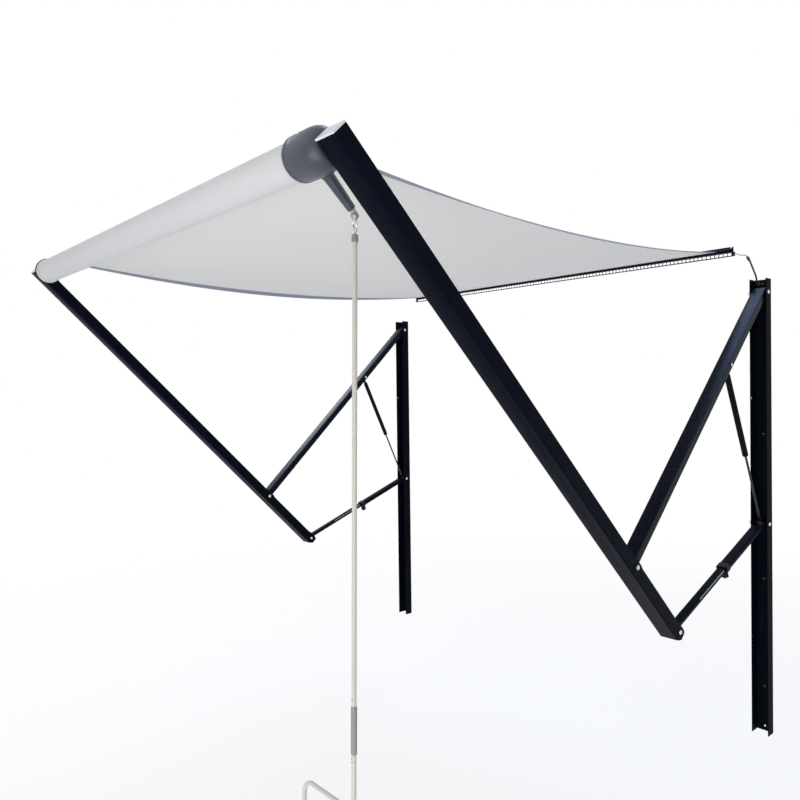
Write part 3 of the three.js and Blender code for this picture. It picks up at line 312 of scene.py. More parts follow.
def mouldedPlastic(name, colour, dusty, rough, shine=0.5):
    surface = newSurface(name)
    place = surface.objectPlace()
    cloudy = surface.noise(place, 18.0, 4.0)
    grain = surface.noise(place, 2200.0, 2.0)
    return surface.finish({
        "Base Color": surface.blend((cloudy - 0.35) * 1.2, colour, dusty),
        "Roughness": rough + cloudy * 0.12 - grain * 0.05,
        "Specular IOR Level": shine,
        "Normal": surface.bump(grain, 0.22, 0.0002),
    })


def platedSteel(name, colour, dull, rough=0.2, brush=(1, 1, 1)):
    surface = newSurface(name)
    place = surface.objectPlace()
    cloudy = surface.noise(place, 60.0, 4.0)
    lines = surface.noise(surface.objectPlace(brush), 900.0, 2.0)
    return surface.finish({
        "Base Color": surface.blend(cloudy * 0.8, colour, dull),
        "Metallic": 1.0,
        "Roughness": rough + cloudy * 0.14 + lines * 0.08,
        "Normal": surface.bump(lines, 0.12, 0.0001),
    })


def wovenCloth(name, colour, shade, pitch, stitch=None):
    surface = newSurface(name)
    place = surface.uvPlace()
    acrossUv = surface.add("SeparateXYZ", None, {"Vector": place})
    alongUv = acrossUv.output(1)
    weft = (acrossUv * (2 * math.pi / pitch)).sine()
    warp = (alongUv * (2 * math.pi / pitch)).sine()
    cloudy = surface.noise(place, 3.0, 5.0)
    slub = surface.noise(surface.uvPlace((900, 12, 1)), 1.0, 2.0)
    height = weft * warp * 0.5 + slub
    colourOut = surface.blend(cloudy * 0.5 + slub * 0.25 - 0.2, colour, shade)
    if stitch:
        dash = (alongUv * (2 * math.pi / stitch["pitch"])).sine() > stitch["share"]
        for line in stitch["lines"]:
            thread = ((acrossUv - line).size() < stitch["width"]) * dash
            colourOut = surface.blend(thread, colourOut, stitch["colour"])
            height = height + thread * stitch["rise"]
    return surface.finish({
        "Base Color": colourOut,
        "Roughness": 0.78 + slub * 0.15,
        "Sheen Weight": 0.15,
        "Sheen Roughness": 0.5,
        "Normal": surface.bump(height, 0.25, 0.0004),
    })


def litLens(name, colour, glow):
    surface = newSurface(name)
    place = surface.objectPlace()
    cloudy = surface.noise(place, 220.0, 2.0)
    return surface.finish({
        "Base Color": surface.blend(cloudy * 0.5, colour, tuple(value * 0.92 for value in colour)),
        "Roughness": 0.25 + cloudy * 0.1,
        "Emission Color": (1, 1, 1, 1),
        "Emission Strength": glow,
    })


finishes = {
    "blackPowder": powderCoat(
        "black_powder_coat", (0.0035, 0.0045, 0.009), (0.010, 0.012, 0.020), 0.42, 1500.0, 0.015,
        (0.50, 0.64, 1.0, 1),
    ),
    "blackArm": powderCoat("black_arm_coat", armPaint["colour"], armPaint["dusty"], **armPaint["coat"]),
    "glossArm": powderCoat(
        "gloss_arm_coat", armPaint["colour"], armPaint["dusty"], 0.26, 1500.0, 0.08, armPaint["coat"]["tint"]
    ),
    "blackBar": highlightedBarCoat("black_bar_coat"),
    "satinBlack": powderCoat(
        "satin_black_paint", (0.004, 0.0045, 0.006), (0.011, 0.012, 0.015), 0.4, 2200.0, 0.06
    ),
    "blackNylon": mouldedPlastic("black_nylon", (0.009, 0.010, 0.014), (0.022, 0.024, 0.030), 0.45, 0.10),
    "darkHousing": mouldedPlastic("dark_housing", (0.030, 0.038, 0.056), (0.055, 0.066, 0.09), 0.36),
    "paleNylon": mouldedPlastic("pale_nylon", (0.70, 0.71, 0.72), (0.60, 0.60, 0.60), 0.4),
    "whitePlastic": mouldedPlastic("white_plastic", (0.80, 0.81, 0.82), (0.70, 0.70, 0.70), 0.35),
    "boltSteel": platedSteel("zinc_plated_steel", (0.72, 0.73, 0.74), (0.55, 0.55, 0.54)),
    "rodSteel": platedSteel(
        "black_nitrided_rod", (0.050, 0.052, 0.058), (0.030, 0.031, 0.034), 0.16, (1, 1, 14)
    ),
    "blackScrew": platedSteel("blackened_screw", (0.10, 0.10, 0.11), (0.05, 0.05, 0.055), 0.34),
    "gearMetal": platedSteel("cast_gear_metal", (0.36, 0.36, 0.37), (0.26, 0.25, 0.25), 0.34),
    "tubeAlloy": platedSteel("extruded_alloy", (0.70, 0.71, 0.73), (0.60, 0.61, 0.62), 0.28, (0.02, 1, 1)),
    "crankPaint": powderCoat("crank_paint", (0.55, 0.52, 0.475), (0.44, 0.41, 0.37), 0.42, 1800.0),
    "gripGrey": mouldedPlastic("grip_plastic", (0.22, 0.225, 0.225), (0.28, 0.28, 0.28), 0.5),
    "canopyCloth": wovenCloth("canopy_cloth", (0.725, 0.705, 0.68), (0.66, 0.64, 0.615), 0.0016),
    "woundCloth": wovenCloth("wound_cloth", (0.60, 0.595, 0.60), (0.545, 0.54, 0.545), 0.0016),
    "bindingCloth": wovenCloth(
        "binding_tape", (0.22, 0.245, 0.31), (0.17, 0.185, 0.24), 0.0012,
        {"pitch": 0.006, "share": -0.35, "lines": (0.0035, 0.0225, 0.0315, 0.0505), "width": 0.0005,
         "colour": (0.36, 0.38, 0.45), "rise": 1.6},
    ),
    "keder": wovenCloth("keder_cloth", (0.16, 0.17, 0.23), (0.12, 0.13, 0.18), 0.0012),
    "redWire": mouldedPlastic("red_wire_skin", (0.16, 0.022, 0.018), (0.12, 0.02, 0.018), 0.6),
    "blackWire": mouldedPlastic("black_wire_skin", (0.012, 0.012, 0.013), (0.03, 0.03, 0.03), 0.42),
    "cableSkin": mouldedPlastic("cable_skin", (0.012, 0.012, 0.014), (0.03, 0.031, 0.034), 0.5),
    "ledBoard": mouldedPlastic("led_board", (0.34, 0.33, 0.38), (0.27, 0.27, 0.31), 0.35),
    "ledLens": litLens("led_lens", (0.86, 0.87, 0.88), 0.9),
}
print("materials made")


# Making and placing pieces
def link(name, mesh, finishName, body, replaced=(), sharp=32.0):
    mesh.materials.append(finishes[finishName])
    for polygon in mesh.polygons:
        polygon.use_smooth = True
    mesh.set_sharp_from_angle(angle=math.radians(sharp))
    obj = bpy.data.objects.new(name, mesh)
    bpy.context.scene.collection.objects.link(obj)
    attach(obj, body)
    if replaced:
        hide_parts(*replaced)
    return obj


def cleaned(bm, distance):
    bmesh.ops.remove_doubles(bm, verts=bm.verts, dist=distance)
    bmesh.ops.recalc_face_normals(bm, faces=bm.faces)
    return bm


def meshOf(name, bm):
    mesh = bpy.data.meshes.new(name)
    bm.to_mesh(mesh)
    bm.free()
    return mesh


def made(name, bm, finishName, body, slotName, *replaced):
    return link(name, meshOf(name, bm), finishName, body, replaced)


def addPart(target, part, place=Matrix()):
    cleaned(part, 1e-7)
    part.transform(place)
    mesh = meshOf("part", part)
    target.from_mesh(mesh)
    bpy.data.meshes.remove(mesh)


def moved(x=0.0, y=0.0, z=0.0):
    return Matrix.Translation((x * mm, y * mm, z * mm))


def turned(axis, quarters=1):
    return Matrix.Rotation(quarters * math.pi / 2, 4, axis)


def pointing(direction):
    return Vector(direction).to_track_quat("Z", "Y").to_matrix().to_4x4()


alongX = turned("Y")
outwards = pointing((0, -1, 0))


# Profiles list (distance along the axis, radius) in millimetres
def eased(points, amount):
    out = [points[0]]
    for before, here, after in zip(points, points[1:], points[2:]):
        p, q, r = Vector(before), Vector(here), Vector(after)
        reach = min(amount, (q - p).length * 0.45, (r - q).length * 0.45)
        start = q + (p - q).normalized() * reach
        end = q + (r - q).normalized() * reach
        middle = (start + end) / 4 + q / 2
        out.extend([tuple(start), tuple(middle), tuple(end)])
    out.append(points[-1])
    return out


def revolved(points, closed, steps):
    bm = bmesh.new()
    ring = [bm.verts.new((radius * mm, 0, along * mm)) for along, radius in points]
    edges = [bm.edges.new(pair) for pair in zip(ring, ring[1:])]
    if closed:
        edges.append(bm.edges.new((ring[-1], ring[0])))
    bmesh.ops.spin(
        bm, geom=ring + edges, cent=(0, 0, 0), axis=(0, 0, 1), angle=2 * math.pi, steps=steps, use_merge=True
    )
    return bm


def spun(profile, steps, soft):
    points = eased(profile, soft)
    closed = profile[0] == profile[-1]
    return revolved(points[:-1] if closed else points, closed, steps)


def addSpun(bm, profile, place=Matrix(), steps=32, soft=0.4):
    addPart(bm, spun(profile, steps, soft), place)


def spunPiece(name, profile, place, steps, soft, *labels):
    bm = bmesh.new()
    addSpun(bm, profile, place, steps, soft)
    return made(name, bm, *labels)


def solidRod(low, high, radius):
    return [(low, 0), (low, radius), (high, radius), (high, 0)]


def bushing(low, high, inner, outer):
    return [(low, inner), (low, outer), (high, outer), (high, inner), (low, inner)]


def smoothPath(points, each):
    # centripetal curve through the points
    pts = [Vector(p) for p in points]
    pts = [pts[0] * 2 - pts[1], *pts, pts[-1] * 2 - pts[-2]]
    out = []
    for i in range(1, len(pts) - 2):
        p = pts[i - 1:i + 3]
        t = [0.0]
        for a, b in zip(p, p[1:]):
            t.append(t[-1] + max((b - a).length, 1e-9) ** 0.5)
        for k in range(each):
            s = t[1] + (t[2] - t[1]) * k / each
            a = [p[j] * ((t[j + 1] - s) / (t[j + 1] - t[j])) + p[j + 1] * ((s - t[j]) / (t[j + 1] - t[j]))
                 for j in range(3)]
            b = [a[j] * ((t[j + 2] - s) / (t[j + 2] - t[j])) + a[j + 1] * ((s - t[j]) / (t[j + 2] - t[j]))
                 for j in range(2)]
            out.append(b[0] * ((t[2] - s) / (t[2] - t[1])) + b[1] * ((s - t[1]) / (t[2] - t[1])))
    out.append(pts[-2].copy())
    return out


def pathLength(points):
    return sum((b - a).length for a, b in zip(points, points[1:]))


def barCurve(name, points, radius, place=Matrix()):
    curve = bpy.data.curves.new(name, "CURVE")
    curve.dimensions = "3D"
    curve.bevel_depth = radius
    curve.bevel_resolution = 5
    curve.use_fill_caps = True
    spline = curve.splines.new("POLY")
    spline.points.add(len(points) - 1)
    for point, target in zip(spline.points, points):
        point.co = (*(place @ Vector(target)), 1)
        point.radius = 1
    spline.use_smooth = True
    obj = bpy.data.objects.new(name, curve)
    bpy.context.scene.collection.objects.link(obj)
    return obj


def addCord(name, points, radius, finishName, body):
    obj = barCurve(name, points, radius)
    obj.data.materials.append(finishes[finishName])
    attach(obj, body)
    return obj


def barMesh(name, points, radius):
    obj = barCurve(name, points, radius, crankFrame)
    mesh = bpy.data.meshes.new_from_object(obj.evaluated_get(bpy.context.evaluated_depsgraph_get()))
    bpy.data.objects.remove(obj)
    return mesh


# Lead from the light strip, in metres: two thin wires side by side, then the supply cable
lead = {
    "radius": 0.00125,
    "apart": 0.00128,
    "route": [
        (0.889, -0.007, -0.0185), (0.897, -0.007, -0.0185), (0.906, -0.0085, -0.020),
        (0.922, -0.013, -0.0275), (0.936, -0.014, -0.0302), (0.9436, -0.014, -0.0312),
        (0.9472, -0.014, -0.0344), (0.9491, -0.014, -0.0377), (0.951, -0.014, -0.0411),
    ],
}
cable = {
    "radius": 0.00325,
    "route": [
        (0.9558, -0.014, -0.0497), (0.9578, -0.014, -0.0532), (0.9598, -0.014, -0.0568),
        (0.9655, -0.014, -0.072), (0.974, -0.0145, -0.095), (0.982, -0.0156, -0.116), (0.984, -0.016, -0.129),
    ],
    "arc": 0.013,
    "arcShares": (0.2, 0.4, 0.6, 0.8, 1.0),
    "grommetZ": -0.142,
    "end": -0.0004,
}
for wireName, finishName, side in (("lead_red_wire", "redWire", -1), ("lead_black_wire", "blackWire", 1)):
    shifted = [(x, y + side * lead["apart"], z) for x, y, z in lead["route"]]
    points = smoothPath(shifted, 4)
    strand = addCord(wireName, points, lead["radius"], finishName, "wall_frame")
    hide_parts("lead_wire")
    pathLength(points)
arcX, arcY = cable["route"][-1][:2]
arcTop = cable["grommetZ"] + cable["arc"]
arcPoints = []
for share in cable["arcShares"]:
    turn = share * math.pi / 2
    arcPoints.append((
        arcX, arcY + cable["arc"] * (1 - math.cos(turn)), arcTop - cable["arc"] * math.sin(turn),
    ))
cablePoints = smoothPath([*cable["route"], *arcPoints, (arcX, cable["end"], cable["grommetZ"])], 3)
supply = addCord("supply_lead", cablePoints, cable["radius"], "cableSkin", "wall_frame")
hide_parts("supply_cable")
pathLength(cablePoints)
print("cords laid")

# Profiles and mouldings keep their CAD shape and get softened edges; widths are in mm, weld in metres
softening = {"weld": 2e-6, "flatAngle": 0.6, "edgeAngle": 40, "segments": 2}
profiles = {
    "blackPowder": ("black_aluminium", 0.5, ["wall_channel_left", "wall_channel_right"]),
    "glossArm": ("black_aluminium", 0.6, ["awning_rail", "led_profile", "upper_arm_left", "upper_arm_right"]),
    "blackArm": ("black_aluminium", 0.6, [
        "outer_arm_left", "outer_arm_right", "pitch_tube_left", "pitch_tube_right",
    ]),
    "blackBar": ("black_aluminium", 0.6, ["pitch_bar_left", "pitch_bar_right"]),
    "blackNylon": ("black_plastic", 0.4, [
        "foot_cap_left", "foot_cap_right", "lock_collar_left", "lock_collar_right",
        "led_end_cap_left", "led_end_cap_right",
    ]),
    "paleNylon": ("pale_plastic", 0.8, ["arm_head_left", "arm_head_right"]),
}


def dressed(node, finishName, slotName, width):
    bm = bmesh.new()
    bm.from_mesh(nodes[node].data)
    bmesh.ops.remove_doubles(bm, verts=bm.verts, dist=softening["weld"])
    flat = math.radians(softening["flatAngle"])
    bmesh.ops.dissolve_limit(bm, angle_limit=flat, verts=bm.verts, edges=bm.edges)
    obj = made(node + "_skin", bm, finishName, nodes[node]["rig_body"], slotName, node)
    soften = obj.modifiers.new("soften", "BEVEL")
    soften.width = width * mm
    soften.segments = softening["segments"]
    soften.limit_method = "ANGLE"
    soften.angle_limit = math.radians(softening["edgeAngle"])
    soften.use_clamp_overlap = False
    soften.harden_normals = True


for finishName, (slotName, width, names) in profiles.items():
    for node in names:
        dressed(node, finishName, slotName, width)
print("profiles dressed")

# CAD nodes that keep their own mesh
kept = {
    "crown_gear": "gearMetal",
    "bevel_pinion": "gearMetal",
    "roller_tube": "tubeAlloy",
    "axle_pin": "boltSteel",
    "keder_bead": "keder",
    "led_strip": "ledBoard",
    "lead_joint": "cableSkin",
    "cable_grommet": "cableSkin",
}
for node, finishName in kept.items():
    mesh = nodes[node].data
    mesh.materials.clear()
    mesh.materials.append(finishes[finishName])

# From here to the canopy the pieces' sizes are in mm
# Bolts: domed head with a round recess, shank, washer and a chamfered nut
fastener = {
    "seat": 30.3, "shank": 5.0, "short": 0.5, "head": 7.0, "rise": 5.0, "recess": 3.0, "recessDepth": 2.6,
    "nutRadius": 9.6, "nutHeight": 7.7, "nutEdge": 0.5, "washer": 9.0, "washerHeight": 1.0,
}


def softenEdges(bm, edges, width, segments):
    bmesh.ops.bevel(
        bm, geom=edges, offset=width * mm, segments=segments, affect="EDGES", profile=0.5, material=-1
    )


def boltPiece(name, node, place, body):
    f = fastener
    bm = bmesh.new()
    right = place @ moved(f["seat"]) @ alongX
    left = place @ moved(-f["seat"]) @ turned("Y", -1)
    recessFloor = f["rise"] - f["recessDepth"]
    addSpun(bm, [
        (0, 0), (0, f["head"]), (f["rise"] * 0.3, f["head"]), (f["rise"] * 0.72, f["head"] * 0.84),
        (f["rise"], f["head"] * 0.5), (f["rise"], f["recess"]), (recessFloor, f["recess"] * 0.96),
        (recessFloor, 0),
    ], right, 48, 0.5)
    addSpun(bm, solidRod(-2 * f["seat"] + f["short"], 0, f["shank"]), right)
    addSpun(bm, solidRod(0, f["washerHeight"], f["washer"]), left, 48, 0.3)
    nut = bmesh.new()
    radius, height = f["nutRadius"] * mm, (f["nutHeight"] - f["washerHeight"]) * mm
    bmesh.ops.create_cone(nut, cap_ends=True, segments=6, radius1=radius, radius2=radius, depth=height)
    nut.transform(moved(z=(f["washerHeight"] + f["nutHeight"]) / 2))
    softenEdges(nut, nut.edges[:], f["nutEdge"], 2)
    addPart(bm, nut, left)
    made(name, bm, "boltSteel", body, "bolt_steel", node)


bolts = {
    "upper_bolt": ("upper_pivot_bolt", Matrix.Translation(upperPivot), "wall_frame"),
    "lower_bolt": ("lower_pivot_bolt", Matrix.Translation(lowerPivot), "wall_frame"),
    "foot_pin": ("foot_bolt", outerFrame, "outer_arms"),
}
for side, x in sides.items():
    for name, (node, place, body) in bolts.items():
        boltPiece(f"{name}_{side}", f"{node}_{side}", place @ moved(x), body)

# Washers and silver heads over the fused studs, screws and rivets; they start just clear of the CAD face
clear = 0.05
studs = {
    "elbow": {
        "z": 344, "seat": 30, "washer": 9.3, "head": 6.4, "rise": 4.8, "dome": 2.0,
        "frame": outerFrame, "body": "outer_arms",
    },
    "strut": {
        "z": 392, "seat": 23, "washer": 7.3, "head": 5.2, "rise": 2.0, "dome": 0.5,
        "frame": upperFrame, "body": "upper_arms",
    },
}
for name, stud in studs.items():
    rise, dome, rim, head = stud["rise"], stud["dome"], stud["washer"], stud["head"]
    layers = {
        "washer": ("blackScrew", [(clear, 0), (clear, rim), (rise * 0.8, rim), (rise, rim - 0.7), (rise, 0)]),
        "stud": ("boltSteel", [
            (rise, 0), (rise, head), (rise + dome * 0.25, head), (rise + dome * 0.75, head * 0.8),
            (rise + dome, head * 0.5), (rise + dome, 0),
        ]),
    }
    for side, x in sides.items():
        for layer, (finishName, profile) in layers.items():
            bm = bmesh.new()
            for hand in (-1, 1):
                place = stud["frame"] @ moved(x + hand * stud["seat"], 0, stud["z"])
                addSpun(bm, profile, place @ turned("Y", hand), 40, 0.6)
            made(f"{name}_{layer}_{side}", bm, finishName, stud["body"], "bolt_steel")

channelScrew = {
    "heights": [-146, -700, -1240, -1643], "face": -2.5, "radius": 4.9, "rise": 2.95, "recess": 1.1,
}
railScrew = {"count": 7, "span": 885, "face": -3.0, "z": 6.4, "radius": 3.3, "rise": 2.1, "recess": 0.8}
coverScrew = {
    "x": 905, "z": 50.25, "radius": 4.2, "rise": 2.6, "recess": 1.0,
    "shank": 2, "shankFrom": -5, "shankTo": 0.2,
}
catchRivet = {
    "inset": 27.5, "depth": -39, "height": -567,
    "profile": [(clear, 0), (clear, 4.4), (0.8, 4.3), (1.5, 2.8), (1.65, 0)],
}


def addPanHead(bm, screw, place):
    # pan head with a small round recess pressed into its middle
    radius, rise, recessFloor = screw["radius"], screw["rise"], screw["rise"] - screw["recess"]
    addSpun(bm, [
        (clear, 0), (clear, radius), (rise * 0.35, radius), (rise * 0.8, radius * 0.82),
        (rise, radius * 0.55), (rise, radius * 0.5), (recessFloor, radius * 0.12), (recessFloor, 0),
    ], place, 24, 0.3)


for side, x in sides.items():
    bm = bmesh.new()
    for z in channelScrew["heights"]:
        addPanHead(bm, channelScrew, moved(x, channelScrew["face"], z) @ outwards)
    made(f"channel_screws_{side}", bm, "blackScrew", "wall_frame", "bolt_steel")
    place = moved(x - catchRivet["inset"], catchRivet["depth"], catchRivet["height"]) @ pointing((1, 0, 0))
    labels = ("whitePlastic", "wall_frame", "bolt_steel")
    spunPiece(f"catch_rivet_{side}", catchRivet["profile"], place, 32, 0.4, *labels)
bm = bmesh.new()
for i in range(railScrew["count"]):
    x = railScrew["span"] * (2 * i / (railScrew["count"] - 1) - 1)
    addPanHead(bm, railScrew, moved(x, railScrew["face"], railScrew["z"]) @ outwards)
made("rail_screw_heads", bm, "boltSteel", "wall_frame", "bolt_steel")
print("fasteners made")

# Light strip: one small lens for each diode
leds = {
    "start": -874.0, "end": 884.0, "pitch": 16.7, "width": 10.9, "height": 7.4, "rise": 1.5, "edge": 0.5,
    "y": -3.5, "z": -18.5,
}
bm = bmesh.new()
for i in range(int((leds["end"] - leds["start"]) / leds["pitch"]) + 1):
    lens = bmesh.new()
    bmesh.ops.create_cube(lens, size=1)
    bmesh.ops.scale(lens, vec=(leds["width"] * mm, leds["rise"] * mm, leds["height"] * mm), verts=lens.verts)
    softenEdges(lens, lens.edges[:], leds["edge"], 1)
    addPart(bm, lens, moved(leds["start"] + i * leds["pitch"], leds["y"] - leds["rise"] / 2, leds["z"]))
made("led_lenses", bm, "ledLens", "wall_frame", "led_board")
print("lights made")

# Lock knobs with a lobed rim
knob = {
    "along": 323, "studEnd": 7.3, "stud": 3.0, "collarFace": 12.6, "hub": 6.5, "hubEnd": 18.0, "sunk": 1,
    "radius": 11.2, "lobe": 1.05, "lobes": 5, "steps": 60, "end": 36.0, "edge": 1.6,
    "cap": 7.4, "capEnd": 38.4,
}
k = knob
for side, x in sides.items():
    bm = bmesh.new()
    addSpun(bm, [
        (k["studEnd"], 0), (k["studEnd"], k["stud"]), (k["collarFace"], k["stud"]),
        (k["collarFace"], k["hub"]), (k["hubEnd"] + k["sunk"], k["hub"]), (k["hubEnd"] + k["sunk"], 0),
    ])
    star = bmesh.new()
    bmesh.ops.create_circle(star, cap_ends=True, segments=k["steps"], radius=k["radius"] * mm)
    for vert in star.verts:
        angle = math.atan2(vert.co.y, vert.co.x)
        reach = k["radius"] + k["lobe"] * math.cos(k["lobes"] * angle)
        vert.co.xy = (reach * mm * math.cos(angle), reach * mm * math.sin(angle))
    raised = bmesh.ops.extrude_face_region(star, geom=star.faces[:])
    lifted = [item for item in raised["geom"] if isinstance(item, bmesh.types.BMVert)]
    bmesh.ops.translate(star, vec=(0, 0, (k["end"] - k["hubEnd"]) * mm), verts=lifted)
    rims = [edge for edge in star.edges if abs(edge.verts[0].co.z - edge.verts[1].co.z) < 1e-7]
    softenEdges(star, rims, k["edge"], 3)
    addPart(bm, star, moved(z=k["hubEnd"]))
    low, high = k["end"] - k["sunk"], k["end"] + k["sunk"]
    cap = [(low, 0), (low, k["cap"]), (high, k["cap"]), (k["capEnd"], k["cap"] * 0.7), (k["capEnd"], 0)]
    addSpun(bm, cap, Matrix(), 40, 0.6)
    bm.transform(pitchFrame @ moved(x, 0, k["along"]) @ turned("X"))
    made(f"star_knob_{side}", bm, "blackNylon", f"knob_{side}", "black_plastic", f"lock_knob_{side}")

# Gas struts
gas = {
    "length": (strutPoint - lowerPivot).length / mm, "eye": 9.2, "eyeHalf": 5.0, "eyeBore": 5.3,
    "sleeve": 8.0, "sleeveEnd": 14.0, "rodStart": 8, "rodNeck": 6.0, "rodNeckEnd": 65, "rod": 4.0,
    "rodEnd": 312, "piston": 7.7, "pistonStart": 303, "cylinder": 10.0, "bore": 8.0, "start": 287,
    "end": 613, "neck": 6.0, "neckShort": 7, "topHalf": 10.0, "topBore": 4.3, "seal": 12,
    "grooveStart": 14, "groove": 0.5, "endWall": 8,
}
g = gas
low, high, rodFit = g["start"], g["end"], g["rod"] + 0.3
rodProfile = [
    (g["rodStart"], 0), (g["rodStart"], g["rodNeck"] - 1), (g["rodStart"] + 4, g["rodNeck"]),
    (g["rodNeckEnd"] - 8, g["rodNeck"]), (g["rodNeckEnd"], g["rod"] + 0.6), (g["rodNeckEnd"], g["rod"]),
    (g["pistonStart"], g["rod"]), (g["pistonStart"], g["piston"]), (g["rodEnd"], g["piston"]),
    (g["rodEnd"], 0),
]
r = g["cylinder"]
neckEnd, bottom, groove = g["length"] - g["neckShort"], high - g["endWall"], low + g["grooveStart"]
barrelProfile = [
    (low, rodFit), (low, r - 1.6), (low + 2.5, r), (groove, r), (groove + 1.2, r - g["groove"]),
    (groove + 2.4, r), (high - 3, r), (high, r - 2.6), (high, g["neck"]), (neckEnd, g["neck"]),
    (neckEnd, 0), (bottom, 0),
    (bottom, g["bore"]), (low + g["seal"], g["bore"]), (low + g["seal"], rodFit), (low, rodFit),
]
for side, x in sides.items():
    place = strutFrame @ moved(x)
    bm = bmesh.new()
    addSpun(bm, rodProfile, place, 40, 0.5)
    addSpun(bm, bushing(-g["eyeHalf"], g["eyeHalf"], g["eyeBore"], g["eye"]), place @ alongX, 40, 0.8)
    for hand in (-1, 1):
        sleeve = bushing(g["eyeHalf"], g["sleeveEnd"], g["eyeBore"], g["sleeve"])
        addSpun(bm, sleeve, place @ turned("Y", hand), 32, 0.5)
    made(f"gas_rod_{side}", bm, "rodSteel", "strut_rods", "bolt_steel", f"strut_rod_{side}")
    bm = bmesh.new()
    addSpun(bm, barrelProfile, place, 48)
    top = bushing(-g["topHalf"], g["topHalf"], g["topBore"], g["eye"])
    addSpun(bm, top, place @ moved(z=g["length"]) @ alongX, 40, 0.8)
    made(f"gas_cylinder_{side}", bm, "satinBlack", "strut_cylinders", "strut_black", f"strut_cylinder_{side}")
print("struts made")


def between(a, b, share):
    return a + (b - a) * share


def clothGrid(columns, rows, patternAt, pointAt):
    # both functions get the shares across and along the cloth
    bm = bmesh.new()
    bmesh.ops.create_grid(bm, x_segments=columns, y_segments=rows, size=0.5)
    uvLayer = bm.loops.layers.uv.new("cloth")
    for face in bm.faces:
        for loop in face.loops:
            loop[uvLayer].uv = patternAt(loop.vert.co.x + 0.5, loop.vert.co.y + 0.5)
    for vert in bm.verts:
        vert.co = pointAt(vert.co.x + 0.5, vert.co.y + 0.5)
    return bm


# Roller: wound cloth whose last turn ends where the canopy leaves it
wound = {
    "start": -925.7, "end": 857.7, "layers": 3.1, "low": 43.0, "high": 44.0, "leave": 6.0, "ripple": 0.22,
    "segments": 120, "rings": 64,
}


def woundPattern(across, around):
    return across * (wound["end"] - wound["start"]) * mm, around * 2 * math.pi * wound["high"] * mm


def woundPoint(across, around):
    ripple = wound["ripple"] * math.sin(across * 41 + around * 5) * math.sin(across * 17 - around * 9)
    radius = (between(wound["low"], wound["high"], around) - abs(ripple)) * mm
    angle = math.radians(wound["leave"]) - around * 2 * math.pi
    x = between(wound["start"], wound["end"], across) * mm
    return x, rollerAxis.y + radius * math.sin(angle), rollerAxis.z + radius * math.cos(angle)


bm = cleaned(clothGrid(wound["rings"], wound["segments"], woundPattern, woundPoint), 1e-6)
clothRoll = made("cloth_roll", bm, "woundCloth", "roller", "light_fabric", "fabric_roll")
thicken = clothRoll.modifiers.new("layers", "SOLIDIFY")
thicken.thickness = wound["layers"] * mm
thicken.offset = -1

rollerPlace = rollerFrame @ alongX
ringProfile = [
    (-932, 39.3), (-932, 44.3), (-930.6, 45.5), (-927.4, 45.5), (-926, 44.3), (-926, 39.3), (-932, 39.3),
]
discProfile = [
    (-900, 6.3), (-900, 34.5), (-901.2, 35.7), (-932.3, 35.7), (-932.3, 48), (-933.3, 49), (-936, 49),
    (-937, 48), (-937, 41.5), (-935.8, 40), (-935.8, 20), (-937, 18.5), (-937, 15), (-968.4, 15),
    (-969.4, 14), (-969.4, 6.3), (-900, 6.3),
]
ringLabels = ("whitePlastic", "roller", "pale_plastic", "roller_ring_left")
discLabels = ("blackNylon", "roller", "black_plastic", "roller_end_left")
spunPiece("pale_ring", ringProfile, rollerPlace, 96, 0.4, *ringLabels)
spunPiece("end_disc", discProfile, rollerPlace, 96, 0.4, *discLabels)

# Gear housing: drum with a rounded end, spigot, axle and snout
drum = {
    "radius": 50.0, "wall": 4.0, "start": 860.0, "end": 967.0, "spigot": 11.0, "spigotEnd": 985.0,
    "axle": 7.0, "axleStart": 835.0, "groove": 0.7, "grooveStart": 9, "snoutFoot": 13.0, "snoutTip": 10.0,
    "snoutStart": 46.5, "snoutEnd": 138.0, "shaftBore": 6.6, "dome": 42.0, "face": 26.0, "step": 1.2,
}
d = drum


def domeCurve(inward, shares):
    out = []
    for share in shares:
        turn = share * math.pi / 2
        out.append((
            d["end"] - inward - d["dome"] * (1 - math.sin(turn)),
            d["face"] - inward + (d["radius"] - d["face"]) * math.cos(turn),
        ))
    return out


low, high, radius = d["start"], d["end"], d["radius"]
groove, step = low + d["grooveStart"], high - d["step"]
drumProfile = [
    (low, radius - d["wall"]), (low, radius - 2.2), (low + 1.6, radius), (groove, radius),
    (groove + 0.8, radius - d["groove"]), (groove + 2, radius - d["groove"]), (groove + 2.8, radius),
    *domeCurve(0, (0, 0.17, 0.34, 0.5, 0.67, 0.84, 1)), (high, d["spigot"] + 12), (step, d["spigot"] + 9),
    (step, d["spigot"]), (d["spigotEnd"], d["spigot"]), (d["spigotEnd"], 0), (high - d["wall"], 0),
    *domeCurve(d["wall"], (1, 0.7, 0.4, 0)), (low, radius - d["wall"]),
]
low, high, foot, tip = d["snoutStart"], d["snoutEnd"], d["snoutFoot"], d["snoutTip"]
snoutProfile = [
    (low, d["shaftBore"]), (low, foot + 3.5), (52, foot + 1.4), (56, foot), (118, tip + 0.6),
    (119, tip + 0.1), (121, tip + 0.1), (122, tip + 0.5), (high - 1, tip), (high, tip - 1),
    (high, d["shaftBore"]), (low, d["shaftBore"]),
]
bm = bmesh.new()
addSpun(bm, drumProfile, rollerPlace, 112, 0.5)
addSpun(bm, solidRod(d["axleStart"], d["end"] - 3, d["axle"]), rollerPlace, 40)
snoutPlace = rollerFrame @ Matrix.Translation((linkage["pinionX"], 0, 0)) @ turned("X", 2)
addSpun(bm, snoutProfile, snoutPlace, 56, 0.6)
made("winding_housing", bm, "darkHousing", "outer_arms", "black_plastic", "gear_housing")
bm = bmesh.new()
screwPlace = rollerFrame @ moved(coverScrew["x"], 0, coverScrew["z"])
addPanHead(bm, coverScrew, screwPlace)
